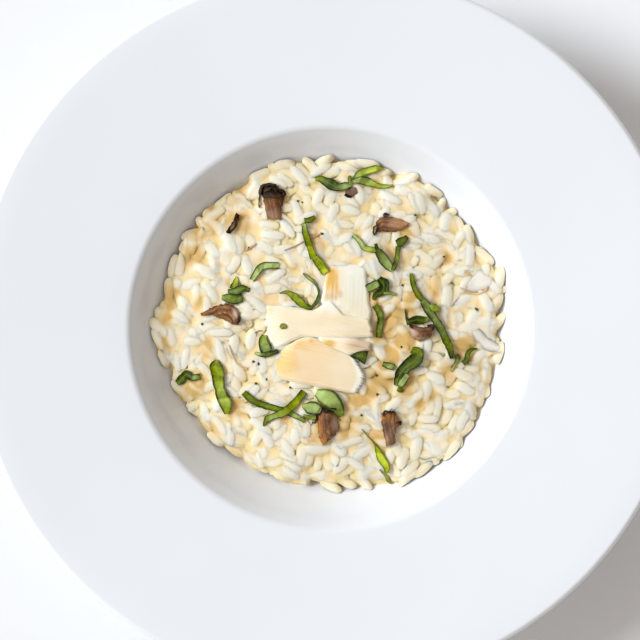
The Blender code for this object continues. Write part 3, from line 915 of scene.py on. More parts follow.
class Ground:
    """Heights of whatever is on top so far, for the next topping to lie on."""

    def __init__(self, heights):
        self.heights = heights

    def under(self, spots):
        """The highest point within a small reach of each plan position."""
        x, y = spots[..., 0], spots[..., 1]
        around = [sampled(self.heights, x + REACH * math.cos(turn), y + REACH * math.sin(turn))
                  for turn in turns(REACH_SPOKES)]
        return np.max([sampled(self.heights, x, y)] + around, axis=0)

    def add(self, points, faces):
        """Lays a closed solid on the ground."""
        tree = BVHTree.FromPolygons(points.tolist(), faces)
        low, high = points.min(axis=0), points.max(axis=0)
        near = (GRID_X > low[0]) & (GRID_X < high[0]) & (GRID_Y > low[1]) & (GRID_Y < high[1])
        self.heights = np.fmax(self.heights, cast(tree, near, np.nan)[0])


class Gathered:
    """Small solids that become one piece."""

    def __init__(self):
        self.points, self.faces, self.attributes, self.count = [], [], {}, 0

    def add(self, points, faces, attributes):
        """Takes in a solid; an attribute is one value for all of it or one for each point."""
        self.faces += [tuple(self.count + index for index in face) for face in faces]
        self.points.append(points)
        self.count += len(points)
        for key, values in attributes.items():
            self.attributes.setdefault(key, []).append(np.broadcast_to(values, len(points)))

    def place(self, name, material, slot, replaces=()):
        """Makes the piece."""
        joined = {key: np.concatenate(values) for key, values in self.attributes.items()}
        return place(name, np.vstack(self.points), self.faces, material, replaces, joined)


PATH_STEPS = 24  # of a smooth curve, between two marks


def smooth_path(marks, count):
    """Even steps along a smooth curve through marks; columns after the first two are carried along."""
    marks = np.asarray(marks, dtype=float)
    ends = np.vstack([2.0 * marks[0] - marks[1], marks, 2.0 * marks[-1] - marks[-2]])
    t = np.linspace(0.0, 1.0, PATH_STEPS, endpoint=False)[:, None]
    runs = [0.5 * (2.0 * b + (c - a) * t + (2.0 * a - 5.0 * b + 4.0 * c - d) * t ** 2
                   + (3.0 * b - a - 3.0 * c + d) * t ** 3)
            for a, b, c, d in zip(ends, ends[1:], ends[2:], ends[3:])]
    fine = np.vstack(runs + [marks[-1:]])
    travelled = np.concatenate([[0.0], np.cumsum(np.hypot(*np.diff(fine[:, :2], axis=0).T))])
    even = np.linspace(0.0, travelled[-1], count)
    return np.column_stack([np.interp(even, travelled, column) for column in fine.T])


def path_length(marks):
    """Length in metres of the straight way through marks."""
    return np.sum(np.hypot(*np.diff(np.asarray(marks, dtype=float)[:, :2], axis=0).T)) * PIXEL


def steps_over(length, pitch):
    """How many points a length takes at a pitch; three at least."""
    return int(length / pitch) + 3


def sheet_between(side_a, side_b, pitch):
    """Pixel positions over a sheet between two edges, along by across."""
    along = steps_over(max(path_length(side_a), path_length(side_b)), pitch)
    a, b = smooth_path(side_a, along), smooth_path(side_b, along)
    width = np.max(np.hypot(*(a - b).T)) * PIXEL
    part = np.linspace(0.0, 1.0, steps_over(width, pitch))[None, :, None]
    return a[:, None, :] * (1.0 - part) + b[:, None, :] * part


def ribbon_along(marks, pitch, across):
    """Pixel positions over a ribbon through marks of (x, y, width), and whatever else the marks carry."""
    path = smooth_path(marks, steps_over(path_length(marks), pitch))
    forward = np.gradient(path[:, :2], axis=0)
    forward /= np.linalg.norm(forward, axis=1, keepdims=True)
    sideways = np.column_stack([-forward[:, 1], forward[:, 0]])
    part = np.linspace(-0.5, 0.5, across)[None, :, None]
    carried = np.repeat(path[:, None, 3:], across, axis=1)
    return path[:, None, :2] + sideways[:, None, :] * path[:, None, 2:3] * part, carried


def parts_of(spots):
    """Fractions from 0 to 1 along and across a grid of positions."""
    along, across = spots.shape[:2]
    return np.meshgrid(np.linspace(0.0, 1.0, along), np.linspace(0.0, 1.0, across), indexing="ij")


def arched(part):
    """From 0 at either end over 1 in the middle."""
    return 1.0 - (2.0 * part - 1.0) ** 2


def neighbour_mean(heights):
    """The mean of the four heights beside each one."""
    padded = np.pad(heights, 1, mode="edge")
    return (padded[:-2, 1:-1] + padded[2:, 1:-1] + padded[1:-1, :-2] + padded[1:-1, 2:]) / 4.0


def settled(floor, passes):
    """How a sheet rests on a floor: it touches the highest places and spans what is between them."""
    heights = floor.copy()
    for _ in range(passes):
        heights = np.maximum(floor, neighbour_mean(heights))
    return heights


def rested(floor, passes, smoothing):
    """How a supple sheet rests: smooth all over, and pressed a little into the highest places."""
    heights = settled(floor, passes)
    for _ in range(smoothing):
        heights = neighbour_mean(heights)
    return heights + PRESSED * np.max(floor - heights)


def sheet_solid(spots, low, thickness):
    """Points of a closed sheet over plan positions, from its underside's heights."""
    top = np.concatenate([spots, (low + thickness)[..., None]], axis=-1).reshape(-1, 3)
    bottom = np.concatenate([spots, low[..., None]], axis=-1).reshape(-1, 3)
    points = np.vstack([top, bottom])
    return points, oriented(points, sheet_faces(*spots.shape[:2]))


def both_sides(values):
    """Values of a sheet's top for both its top and its underside."""
    return np.tile(np.asarray(values).ravel(), 2)


def rounded_body(v, rim, more):
    """Thickness across a ribbon that is fuller along its middle than at its rims; both in mm."""
    return (rim + more * np.sin(np.pi * v)) * MM


def border_distance(spots):
    """Distance of each position to the nearest of its sheet's four edges, in metres."""
    steps_along = np.linalg.norm(np.gradient(spots, axis=0), axis=-1)
    steps_across = np.linalg.norm(np.gradient(spots, axis=1), axis=-1)
    before, beside = np.cumsum(steps_along, axis=0), np.cumsum(steps_across, axis=1)
    return np.minimum.reduce([before - before[:1], before[-1:] - before,
                              beside - beside[:, :1], beside[:, -1:] - beside])


ZONE_FLATNESS = 1.5  # above 1, so that a soft oval is even over its middle


def zone(pixels, marks):
    """How much each pixel lies in soft oval zones of (x, y, half width, half height, strength)."""
    total = np.zeros(pixels.shape[:-1])
    for x, y, half_width, half_height, strength in marks:
        offsets = (pixels - (x, y)) / (half_width, half_height)
        total = np.maximum(total, strength * np.exp(-np.sum(offsets ** 2, axis=-1) ** ZONE_FLATNESS))
    return total


# Cheese shavings. A shaving lies between its first and its last edge. Its thickness and arch are in mm, and
# so is its dip: how deep the first edge goes into the rice. Its direction is that of the blade's lines, in
# degrees down from rightward. It is amber by a share all over, and its zones are soft ovals of (x, y, half
# width, half height, strength) that are more amber, pale or tan; the tan is painted shadow, mostly along the
# edges of shavings that lie over it. The last edge bulges by so many pixels and has teeth of (depth in
# pixels, number).
CHEESE = [
    dict(node="cheese_shaving_upper",
         first=[(334, 260), (328, 268), (325, 279), (323, 291), (321, 302), (333, 309), (345, 315)],
         last=[(366, 260), (367, 277), (369, 290), (370, 303), (372, 312), (370, 322)],
         thickness=0.9, arch=0.5, dip=3.4, direction=92.0, bulge=0.0, teeth=(2.0, 9.0), amber=0.04,
         amber_zones=[(331, 279, 8, 17, 1.15), (335, 286, 5, 9, 0.9), (369, 300, 2, 5, 0.4)],
         pale_zones=[(333, 306, 12, 6, 1.0), (358, 276, 14, 24, 0.8), (350, 261, 24, 7, 1.0)],
         # Painted shadow along the edge of the middle shaving, which lies over this one
         tan_zones=[(331, 297, 7, 4, 0.5), (340, 294, 3, 4, 0.6), (340, 307, 4, 2, 0.25),
                    (348, 313, 3, 2, 0.3)]),
    dict(node="cheese_shaving_under",
         first=[(318, 337), (330, 336), (342, 337), (356, 339), (371, 343)],
         last=[(322, 349), (332, 352), (342, 355), (352, 356), (371, 350)],
         thickness=0.9, arch=0.4, dip=0.0, direction=10.0, bulge=0.0, teeth=(1.0, 4.0), amber=0.08,
         amber_zones=[(329, 344, 8, 4, 1.0), (341, 346, 30, 10, 0.15)],
         pale_zones=[(341, 346, 5, 10, 0.2)],
         # Painted shadow: the dark line where the middle shaving's tip lies over this one
         tan_zones=[(361, 345, 13, 6, 0.75), (364, 340, 9, 1.6, 1.0)]),
    dict(node="cheese_shaving_middle",
         first=[(265, 305), (285, 306), (303, 308), (317, 308), (329, 300), (337, 307), (346, 315),
                (370, 319)],
         last=[(269, 352), (280, 347), (297, 339), (306, 337), (329, 338), (350, 338), (374, 337)],
         thickness=0.9, arch=0.5, dip=1.0, direction=16.0, bulge=0.0, teeth=(1.2, 11.0), amber=0.13,
         amber_zones=[(268, 309, 5, 6, 0.35), (330, 322, 26, 5, 0.12), (345, 333, 25, 4, 0.12)],
         pale_zones=[(333, 306, 12, 6, 1.0), (284, 345, 18, 5, 0.8), (275, 330, 14, 16, 0.25)],
         tan_zones=[(366, 331, 5, 5, 0.10), (370, 337, 2, 2, 0.4)]),
    dict(node="cheese_shaving_lower",
         first=[(279, 351), (292, 343), (303, 338), (314, 338), (328, 345), (342, 352), (352, 357)],
         last=[(274, 376), (287, 381), (299, 384), (312, 386), (328, 390), (342, 392), (356, 394)],
         thickness=1.0, arch=0.9, dip=1.6, direction=12.0, bulge=11.0, teeth=(4.5, 14.0), amber=0.36,
         amber_zones=[(284, 362, 14, 14, 0.85), (311, 341, 3, 2.5, 0.9), (290, 371, 3, 2.5, 0.8),
                      (300, 345, 20, 6, 0.55)],
         pale_zones=[(345, 375, 18, 20, 0.3), (347, 354, 10, 3, 0.5)],
         tan_zones=[(299, 367, 5, 6, 0.06)]),
]
CHEESE_PITCH = 0.28 * MM
CHEESE_PASSES = (900, 150)  # of settling and of smoothing
CHEESE_GAP = 0.02 * MM
CHEESE_WAVES = (0.2 * MM, 8.0 * MM)  # height and size
CHEESE_EDGE = 1.2 * MM  # over which a shaving thins towards its rim
CHEESE_RIM = 0.25  # share of the thickness that is left there
DROOP = 0.5 * MM  # how far a shaving's rim bends down
ARCH_SPAN = (0.15, 0.8)  # where on the arch the first edge is, and how much of it the shaving takes up
SUNKEN_BAND = 0.25  # share of the way from the first edge over which it dips
SUNKEN_THINNING = 0.85  # share of the thickness that is lost there
FULL_DIP = 2.0  # a dip of this many mm thins the edge by all of that
TOOTHED_BAND = 0.1  # share of the way with teeth at the last edge
TOOTH_NOISE = (0.3, 0.6)  # of the teeth's spacing, and of their reach in pixels
TOOTH_SPACING = 1.3  # teeth over which that noise changes
TOOTH_FLANK = 0.7  # below 1, so that the long flank bulges
LONG_TEETH = 3.0  # deeper teeth are white
WHITE_TEETH = (0.9, 0.05)  # where the white starts on the way to the last edge, and how softly
BULGE_LEAN = 0.8  # below 1, so that the bulge leans towards the start of the edge
FRAYED_BAND = 0.08  # share of the way that is frayed at the first edge
FRAY = ((40.0, 1.0, 32), (90.0, 0.6, 33))  # waves along the first edge, depth in pixels, seed
LINE_WAVER = 0.12 * MM  # how far the lines waver
LINE_PATCHES = 5.0 * MM  # size of the patches with stronger and weaker lines
LINE_LAYERS = ((0.5 * MM, 1.0, 35), (0.26 * MM, 0.6, 36))  # width, strength, seed
LINE_STRENGTH = (0.55, 0.45)  # on average, and how much it varies
LINE_DEPTH = 0.06 * MM
WHITE_RIM = 0.35 * MM  # width of the pale line at a shaving's border
# Painted highlight on the raised lines
PALE_AND_LINE_HIGHLIGHT = (0.4, 0.6)  # how pale a shaving is on average, and how much its lines change that
CLEARED = 0.9  # share of an amber zone that is missing where a line is raised
AMBER_MOTTLE = (0.15, 3.0 * MM)  # strength and size
# Painted shade: the tan darkens its zones, and more so in the grooves between the lines
PAINTED_SHADE_STRENGTH = (0.6, 0.8)  # strength of the tan on average, and how much more there is between the lines
RIM_MELT = 0.85  # share by which a rim's shading follows what it lies on
MELTED_RIM = 0.7 * MM  # width over which that ends
MELT_START = 1.5  # widths from the border to where it has ended


def serrated(part):
    """Teeth with one steep flank: 0 at the root, 1 at the tip."""
    return (part % 1.0) ** TOOTH_FLANK


def cheese_outline(pixels, u, v, bulge, teeth):
    """Gives a shaving its curved and toothed last edge and a frayed first one."""
    depth, count = teeth
    forward = pixels[-1:] - pixels[-4:-3]  # over the last three steps
    forward /= np.linalg.norm(forward, axis=-1, keepdims=True)
    jitter = line_noise(v * count, TOOTH_SPACING, seed=31)
    reach = depth * (serrated(v * count + TOOTH_NOISE[0] * jitter) - 0.5) + TOOTH_NOISE[1] * jitter
    reach *= clipped((u - 1.0 + TOOTHED_BAND) / TOOTHED_BAND)
    reach += bulge * np.sin(np.pi * v ** BULGE_LEAN) * u ** 3
    fray = sum(fray_depth * line_noise(v * waves, 1.0, seed) for waves, fray_depth, seed in FRAY)
    reach -= fray * clipped(1.0 - u / FRAYED_BAND)
    return pixels + forward * reach[..., None]


def blade_lines(pixels, spots, direction):
    """The blade's fine straight lines, from about -1 where they are deep to 1."""
    turn = math.radians(direction)
    beside = (pixels[..., 1] * math.cos(turn) - pixels[..., 0] * math.sin(turn)) * PIXEL
    beside = beside + LINE_WAVER * smooth_noise(spots, LINE_PATCHES, seed=34)
    lines = sum(strength * line_noise(beside, width, seed) for width, strength, seed in LINE_LAYERS)
    average, varying = LINE_STRENGTH
    return lines * (average + varying * smooth_noise(spots, LINE_PATCHES, seed=37))


def cheese_tones(pixels, spots, u, border, lines, long_teeth, amber, amber_zones, pale_zones, tan_zones):
    """How pale, amber and tan a shaving is; its tan is painted shade and the paleness of its raised lines a
    painted highlight.
    """
    whitened = np.maximum(zone(pixels, pale_zones), clipped(1.0 - border / WHITE_RIM))
    if long_teeth:
        start, softness = WHITE_TEETH
        whitened = np.maximum(whitened, clipped((u - start) / softness))
    streaks = clipped(lines)
    in_zones = zone(pixels, amber_zones) * (1.0 - amber) * (1.0 - CLEARED * streaks)
    ambered = (amber + in_zones) * (1.0 - whitened)
    ambered *= 1.0 + AMBER_MOTTLE[0] * smooth_noise(spots, AMBER_MOTTLE[1], seed=39)
    painted_shade = zone(pixels, tan_zones) * (PAINTED_SHADE_STRENGTH[0] + PAINTED_SHADE_STRENGTH[1] * clipped(-lines))
    paled = PALE_AND_LINE_HIGHLIGHT[0] + PALE_AND_LINE_HIGHLIGHT[1] * lines + whitened
    return {name: both_sides(clipped(values))
            for name, values in (("pale_and_highlight", paled), ("amber", ambered), ("tan", painted_shade))}


def make_cheese(ground, material, node, first, last, thickness, arch, dip, direction, bulge, teeth,
                **own_tones):
    """A thin curl of hard cheese with the blade's fine straight lines on it."""
    pixels = sheet_between(first, last, CHEESE_PITCH)
    u, v = parts_of(pixels)
    pixels = cheese_outline(pixels, u, v, bulge, teeth)
    spots = plan(pixels)
    lines = blade_lines(pixels, spots, direction)
    border = border_distance(spots)
    edge = clipped(border / CHEESE_EDGE)
    sinking = clipped(1.0 - u / SUNKEN_BAND) ** 2
    body = thickness * MM * (CHEESE_RIM + (1.0 - CHEESE_RIM) * np.sqrt(1.0 - (1.0 - edge) ** 2))
    body *= 1.0 - SUNKEN_THINNING * sinking * min(1.0, dip / FULL_DIP)
    body += LINE_DEPTH * lines * (1.0 - sinking)
    low = rested(ground.under(spots), *CHEESE_PASSES) + CHEESE_GAP
    low += arch * MM * arched(v) * np.sin(np.pi * clipped(ARCH_SPAN[0] + ARCH_SPAN[1] * u))
    low += CHEESE_WAVES[0] * smooth_noise(spots, CHEESE_WAVES[1], seed=38)
    low -= dip * MM * sinking + DROOP * (1.0 - edge) ** 2
    points, faces = sheet_solid(spots, low, body)
    ground.add(points, faces)
    attributes = cheese_tones(pixels, spots, u, border, lines, teeth[0] > LONG_TEETH, **own_tones)
    made = place(node + "_shape", points, faces, material, [node], attributes)
    rim = RIM_MELT * clipped(MELT_START - border / MELTED_RIM)
    melt_normals(made, blurred(ground.heights, MELT_BLUR), both_sides(rim))


# Mushroom pieces: node, edges, arch in mm, zones (dark, golden, light), and frills of (x, y, width)
MUSHROOMS = [
    ("mushroom_piece_1",
     [(260, 184), (262, 196), (264, 206), (267, 217)], [(276, 184), (283, 194), (282, 204), (281, 219)],
     2.2, [(270, 189, 18, 9, 1.0)], [(277, 217, 8, 3, 0.4)], [(275, 214, 8, 6, 0.25)],
     [[(258, 206, 1.6), (259, 197, 2), (260, 190, 2.6), (263, 185, 3), (270, 183, 3), (276, 184, 2.6)],
      [(263, 190, 2), (268, 188, 2.6), (273, 187, 2.2), (276, 190, 1.6)],
      [(276, 186, 1.6), (279, 189, 2.6), (283, 190, 3), (284, 194, 2.6), (280, 196, 2)],
      [(262, 196, 1.6), (267, 195, 2), (272, 197, 1.6), (278, 196, 1.6)]]),
    ("mushroom_piece_2",
     [(377, 221), (383, 216), (391, 216), (400, 218), (409, 222)],
     [(375, 235), (379, 231), (388, 231), (399, 230), (408, 226)],
     1.4, [(376, 230, 5, 9, 0.9), (387, 215, 6, 2.5, 0.7)], [(403, 223, 10, 6, 0.5)],
     [(402, 223, 13, 6, 0.35)],
     [[(383, 214, 1.6), (387, 213, 2), (390, 215, 1.4)],
      [(375, 235, 1.4), (374, 229, 2), (377, 223, 2)]]),
    ("mushroom_piece_3",
     [(200, 313), (212, 307), (222, 304), (231, 304), (237, 311), (240, 318)],
     [(201, 316), (211, 315), (218, 318), (224, 320), (231, 324), (237, 325)],
     1.8, [(239, 321, 2.5, 4, 1.0)], [(204, 315, 5, 3, 0.4)], [(235, 313, 3, 5, 0.9)],
     [[(236, 324, 1.8), (239, 321, 2.6), (240, 317, 1.4)]]),
    ("mushroom_piece_4",
     [(409, 323), (420, 327), (435, 326)], [(412, 336), (420, 341), (432, 337)],
     3.0, [(408, 325, 4, 3, 0.7), (434, 328, 2.5, 4, 0.8), (427, 332, 9, 5, 0.4)], [(420, 340, 10, 2.5, 0.3)],
     [(413, 333, 5, 6, 0.55), (424, 339, 10, 2.5, 0.35)],
     [[(409, 323, 1.6), (412, 327, 1.6), (414, 329, 1.2)],
      [(428, 326, 1.2), (433, 325, 1.8), (435, 328, 1.4)]]),
    ("mushroom_piece_5",
     [(319, 408), (317, 416), (318, 427), (319, 437), (323, 446)],
     [(338, 409), (338, 418), (339, 428), (336, 435), (329, 441)],
     2.2, [(328, 409, 14, 5, 0.9), (327, 425, 4, 10, 0.45)],
     [(318, 430, 3.5, 11, 0.9), (323, 443, 4, 4, 0.6)],
     [(336, 424, 4, 9, 0.35)],
     [[(318, 415, 1.6), (320, 409, 2.4), (327, 407, 2.6), (333, 409, 2.2), (339, 409, 1.8)],
      [(322, 411, 1.4), (326, 413, 1.6), (330, 410, 1.4)],
      [(319, 412, 1.2), (314, 418, 1.4), (312, 424, 0.9)],
      [(317, 415, 1), (316, 421, 1.4), (313, 425, 0.8)]]),
    ("mushroom_piece_6",
     [(382, 414), (382, 424), (384, 434), (387, 448)], [(395, 412), (401, 423), (396, 434), (397, 443)],
     1.6, [(389, 412, 9, 3, 0.5), (386, 427, 5, 8, 0.5)], [(385, 418, 7, 6, 0.5)],
     [(392, 435, 8, 12, 0.12)],
     [[(383, 417, 1.6), (385, 413, 2), (389, 412, 2.2), (394, 412, 1.8)],
      [(389, 413, 1.6), (391, 411, 2.2), (392, 409, 1.6)],
      [(397, 424, 1.4), (401, 422, 2), (401, 426, 1.4)]]),
    ("mushroom_sliver",
     [(225, 231), (230, 224), (235, 212)], [(229, 233), (235, 224), (239, 214)],
     0.5, [(227, 231, 3, 3, 0.8), (237, 214, 3, 3, 0.8)], [], [(232, 224, 3, 5, 0.5)],
     [[(226, 232, 1.0), (230, 225, 0.8), (234, 217, 0.8), (236, 212, 1.3)],
      [(229, 233, 1.2), (234, 226, 1.3), (238, 218, 1.3), (239, 214, 1.0)]]),
]
# Loose brown bits: marks of (x, y, width), how dark, how light
MUSHROOM_BITS = [
    ([(346, 193, 5), (350, 192, 8), (354, 190, 8), (357, 189, 6)], 0.55, 0.25),
    ([(345, 193, 3), (348, 195, 3), (352, 196, 1.5)], 1.0, 0.0),
    ([(284, 250, 1), (296, 245, 1.4), (305, 240, 1.2), (313, 237, 1.6), (321, 233, 1.2)], 0.0, 0.5),
    ([(254, 333, 1), (258, 331, 1.4), (262, 331, 1)], 0.1, 0.5),
    ([(245, 250, 1.5), (250, 247, 3), (256, 243, 1.5)], 0.0, 0.6),
]
MUSHROOM_PITCH = 0.22 * MM
MUSHROOM_PASSES = 250  # of settling
MUSHROOM_WAVES = (0.3 * MM, 2.6 * MM)  # height and size
MUSHROOM_BODY = (0.55, 0.12)  # thickness in mm, and how much the fibres change it
MUSHROOM_ENDS = (0.6, 0.4)  # how high the arch is at the ends, and how much higher between them
RAGGED = (0.9, 2.2)  # depth and size of the unevenness of the edges, in pixels
RAGGED_BAND = 0.8 * MM  # how far in from the edges it reaches
RAGGED_DARK = 0.35  # how much darker the edge is where it stands out
FIBRE_WIDTH = 0.45 * MM
FIBRE_TONE = (0.45, 0.55)  # how light on average, and how much the fibres change that
FIBRE_WAVER = (0.3 * MM, 2.0 * MM)  # how far they waver, and over which length
RIBBON_PASSES = 20  # of settling, for thin ribbons
FRILL_PITCH = 0.2 * MM
FRILL_ACROSS = 7
FRILL_WANDER = (0.7, 1.1)  # how far it wanders in pixels, and over how many mm
FRILL_SINK = 0.15 * MM
FRILL_CRINKLE = (0.35 * MM, 0.9)  # height, and length in mm
FRILL_BODY = (0.35, 0.25)  # thickness at its sides and how much more along its middle, in mm
FRILL_DARK = (0.85, 0.15)  # how dark on average, and how much the crinkles change that
MOST_FRILLS = 7  # to a mushroom, so that every frill has a shape of its own
BIT_PITCH = 0.25 * MM
BIT_ACROSS = 9
BIT_PASSES = 40
BIT_SINK = 0.1 * MM
BIT_BODY = (0.25, 0.3)  # the same for a bit
BIT_BUMPS = (0.1 * MM, 0.8 * MM)  # height and size
BIT_GOLD = 0.3  # how golden a bit is for how light it is


def make_frill(gathered, ground, frill, number):
    """A thin near-black crinkled rim of a mushroom."""
    pixels, _ = ribbon_along(frill, FRILL_PITCH, FRILL_ACROSS)
    u, v = parts_of(pixels)
    along = u * path_length(frill) / MM
    wander, size = FRILL_WANDER
    pixels = pixels + wander * smooth_noise(np.stack([along, v], axis=-1), size, seed=50 + number)[..., None]
    spots = plan(pixels)
    low = settled(ground.under(spots), RIBBON_PASSES) - FRILL_SINK
    height, size = FRILL_CRINKLE
    crinkle = smooth_noise(np.stack([along + v, v * 2.0], axis=-1), size, seed=60 + number)
    low += height * (1.0 + crinkle)
    points, faces = sheet_solid(spots, low, rounded_body(v, *FRILL_BODY))
    dark = FRILL_DARK[0] + FRILL_DARK[1] * both_sides(crinkle)
    gathered.add(points, faces, {"dark": dark, "fibre": 0.5, "gold": 0.0, "light": 0.0})


def make_mushroom(ground, material, number, node, side_a, side_b, arch, dark_zones, gold_zones, light_zones,
                  frills):
    """A shrivelled slice of brown mushroom with fibres along it and crinkled dark rims."""
    pixels = sheet_between(side_a, side_b, MUSHROOM_PITCH)
    u, v = parts_of(pixels)
    ragged = smooth_noise(pixels, RAGGED[1], seed=40 + number)
    outward = clipped(1.0 - border_distance(plan(pixels)) / RAGGED_BAND)
    middle = pixels.mean(axis=(0, 1))
    towards = (pixels - middle) / np.linalg.norm(pixels - middle, axis=-1, keepdims=True)
    spots = plan(pixels + towards * (RAGGED[0] * ragged * outward)[..., None])
    across = np.cumsum(np.linalg.norm(np.gradient(spots, axis=1), axis=-1), axis=1)
    waver = FIBRE_WAVER[0] * smooth_noise(spots, FIBRE_WAVER[1], seed=41)
    lines = line_noise(across + waver, FIBRE_WIDTH, seed=42 + number)
    low = settled(ground.under(spots), MUSHROOM_PASSES)
    bulge = arched(v) * (MUSHROOM_ENDS[0] + MUSHROOM_ENDS[1] * np.sin(np.pi * u))
    low += arch * MM * bulge + MUSHROOM_WAVES[0] * smooth_noise(spots, MUSHROOM_WAVES[1], seed=43 + number)
    body = (MUSHROOM_BODY[0] + MUSHROOM_BODY[1] * lines) * MM
    points, faces = sheet_solid(spots, low, body)
    ground.add(points, faces)
    dark = clipped(zone(pixels, dark_zones) + RAGGED_DARK * outward * (ragged > 0.0))
    gathered = Gathered()
    gathered.add(points, faces, {
        "dark": both_sides(dark), "fibre": both_sides(clipped(FIBRE_TONE[0] + FIBRE_TONE[1] * lines)),
        "gold": both_sides(zone(pixels, gold_zones)), "light": both_sides(zone(pixels, light_zones))})
    for index, frill in enumerate(frills):
        make_frill(gathered, ground, frill, number * MOST_FRILLS + index)
    gathered.place(node + "_shape", material, "mushroom", [node])


def make_mushroom_bits(ground, material):
    """Small brown crumbs and threads."""
    gathered = Gathered()
    height, size = BIT_BUMPS
    for number, (marks, dark, light) in enumerate(MUSHROOM_BITS):
        spots = plan(ribbon_along(marks, BIT_PITCH, BIT_ACROSS)[0])
        _, v = parts_of(spots)
        low = settled(ground.under(spots), BIT_PASSES) - BIT_SINK
        body = rounded_body(v, *BIT_BODY) + height * smooth_noise(spots, size, seed=140 + number)
        points, faces = sheet_solid(spots, low, body)
        ground.add(points, faces)
        tone = both_sides(0.5 + 0.5 * smooth_noise(spots, size, seed=150 + number))
        gathered.add(points, faces, {"dark": dark, "fibre": tone, "gold": BIT_GOLD * light, "light": light})
    gathered.place("mushroom_bits", material, "mushroom")


# Pale mushroom slices: node, edges, thickness in mm, and the browned line of (x, y, width) on each
PALE_SLICES = [
    ("pale_slice_right",
     [(466, 284), (472, 275), (481, 269), (491, 273), (496, 277)],
     [(467, 290), (473, 292), (479, 292), (488, 289), (495, 284)],
     0.6, [[(461, 287, 0.8), (468, 291, 1.3), (474, 293.4, 2), (480, 293.6, 2.2), (486, 291, 1.6),
            (489, 288, 2)],
           [(466, 271, 2), (469, 273, 3), (472, 275, 1.6)]]),
    ("pale_slice_spike",
     [(472, 328), (480, 328), (491, 338), (503, 346)], [(471, 334), (479, 343), (488, 351), (503, 353)],
     0.6, [[(490, 358, 2), (494, 355, 1.4), (503, 352, 0.6)]]),
    ("pale_slice_left",
     [(226, 338), (232, 347), (239, 358), (248, 368)], [(222, 340), (227, 353), (235, 365), (246, 371)],
     0.7, [[(228, 345, 1.2), (231, 354, 1.5), (235, 362, 1.8), (241, 367, 1.5), (247, 370, 2.5)]]),
]
PALE_PITCH = 0.3 * MM
PALE_PASSES = (400, 80)  # of settling and of smoothing
PALE_SINK = 0.5 * MM
PALE_WAVES = (0.3 * MM, 3.0 * MM)  # height and size
PALE_EDGE = 2.2 * MM  # over which a slice thins towards its rim
PALE_RIM = 0.1  # share of the thickness that is left there
PALE_RIM_SKIN = 0.3  # how brown the rim is
PALE_MELT = 0.8  # share by which the shading follows what the slice lies on
SKIN_ACROSS = 5
SKIN_SINK = 0.1 * MM
SKIN_BODY = (0.2, 0.3)  # thickness at its sides and how much more between, in mm


def make_pale_slice(ground, material, node, side_a, side_b, thickness, lines):
    """A soft translucent slice with browned lines of skin on it."""
    spots = plan(sheet_between(side_a, side_b, PALE_PITCH))
    edge = clipped(border_distance(spots) / PALE_EDGE)
    low = rested(ground.under(spots), *PALE_PASSES) - PALE_SINK
    low += PALE_WAVES[0] * smooth_noise(spots, PALE_WAVES[1], seed=70)
    points, faces = sheet_solid(spots, low, thickness * MM * (PALE_RIM + (1.0 - PALE_RIM) * eased(edge)))
    ground.add(points, faces)
    gathered = Gathered()
    gathered.add(points, faces, {"skin": both_sides(PALE_RIM_SKIN * (1.0 - edge))})
    for line in lines:
        spots = plan(ribbon_along(line, PALE_PITCH, SKIN_ACROSS)[0])
        _, v = parts_of(spots)
        low = settled(ground.under(spots), RIBBON_PASSES) - SKIN_SINK
        points, faces = sheet_solid(spots, low, rounded_body(v, *SKIN_BODY))
        gathered.add(points, faces, {"skin": 1.0})
    made = gathered.place(node + "_shape", material, "pale_mushroom", [node])
    melt_normals(made, blurred(ground.heights, MELT_BLUR), PALE_MELT)


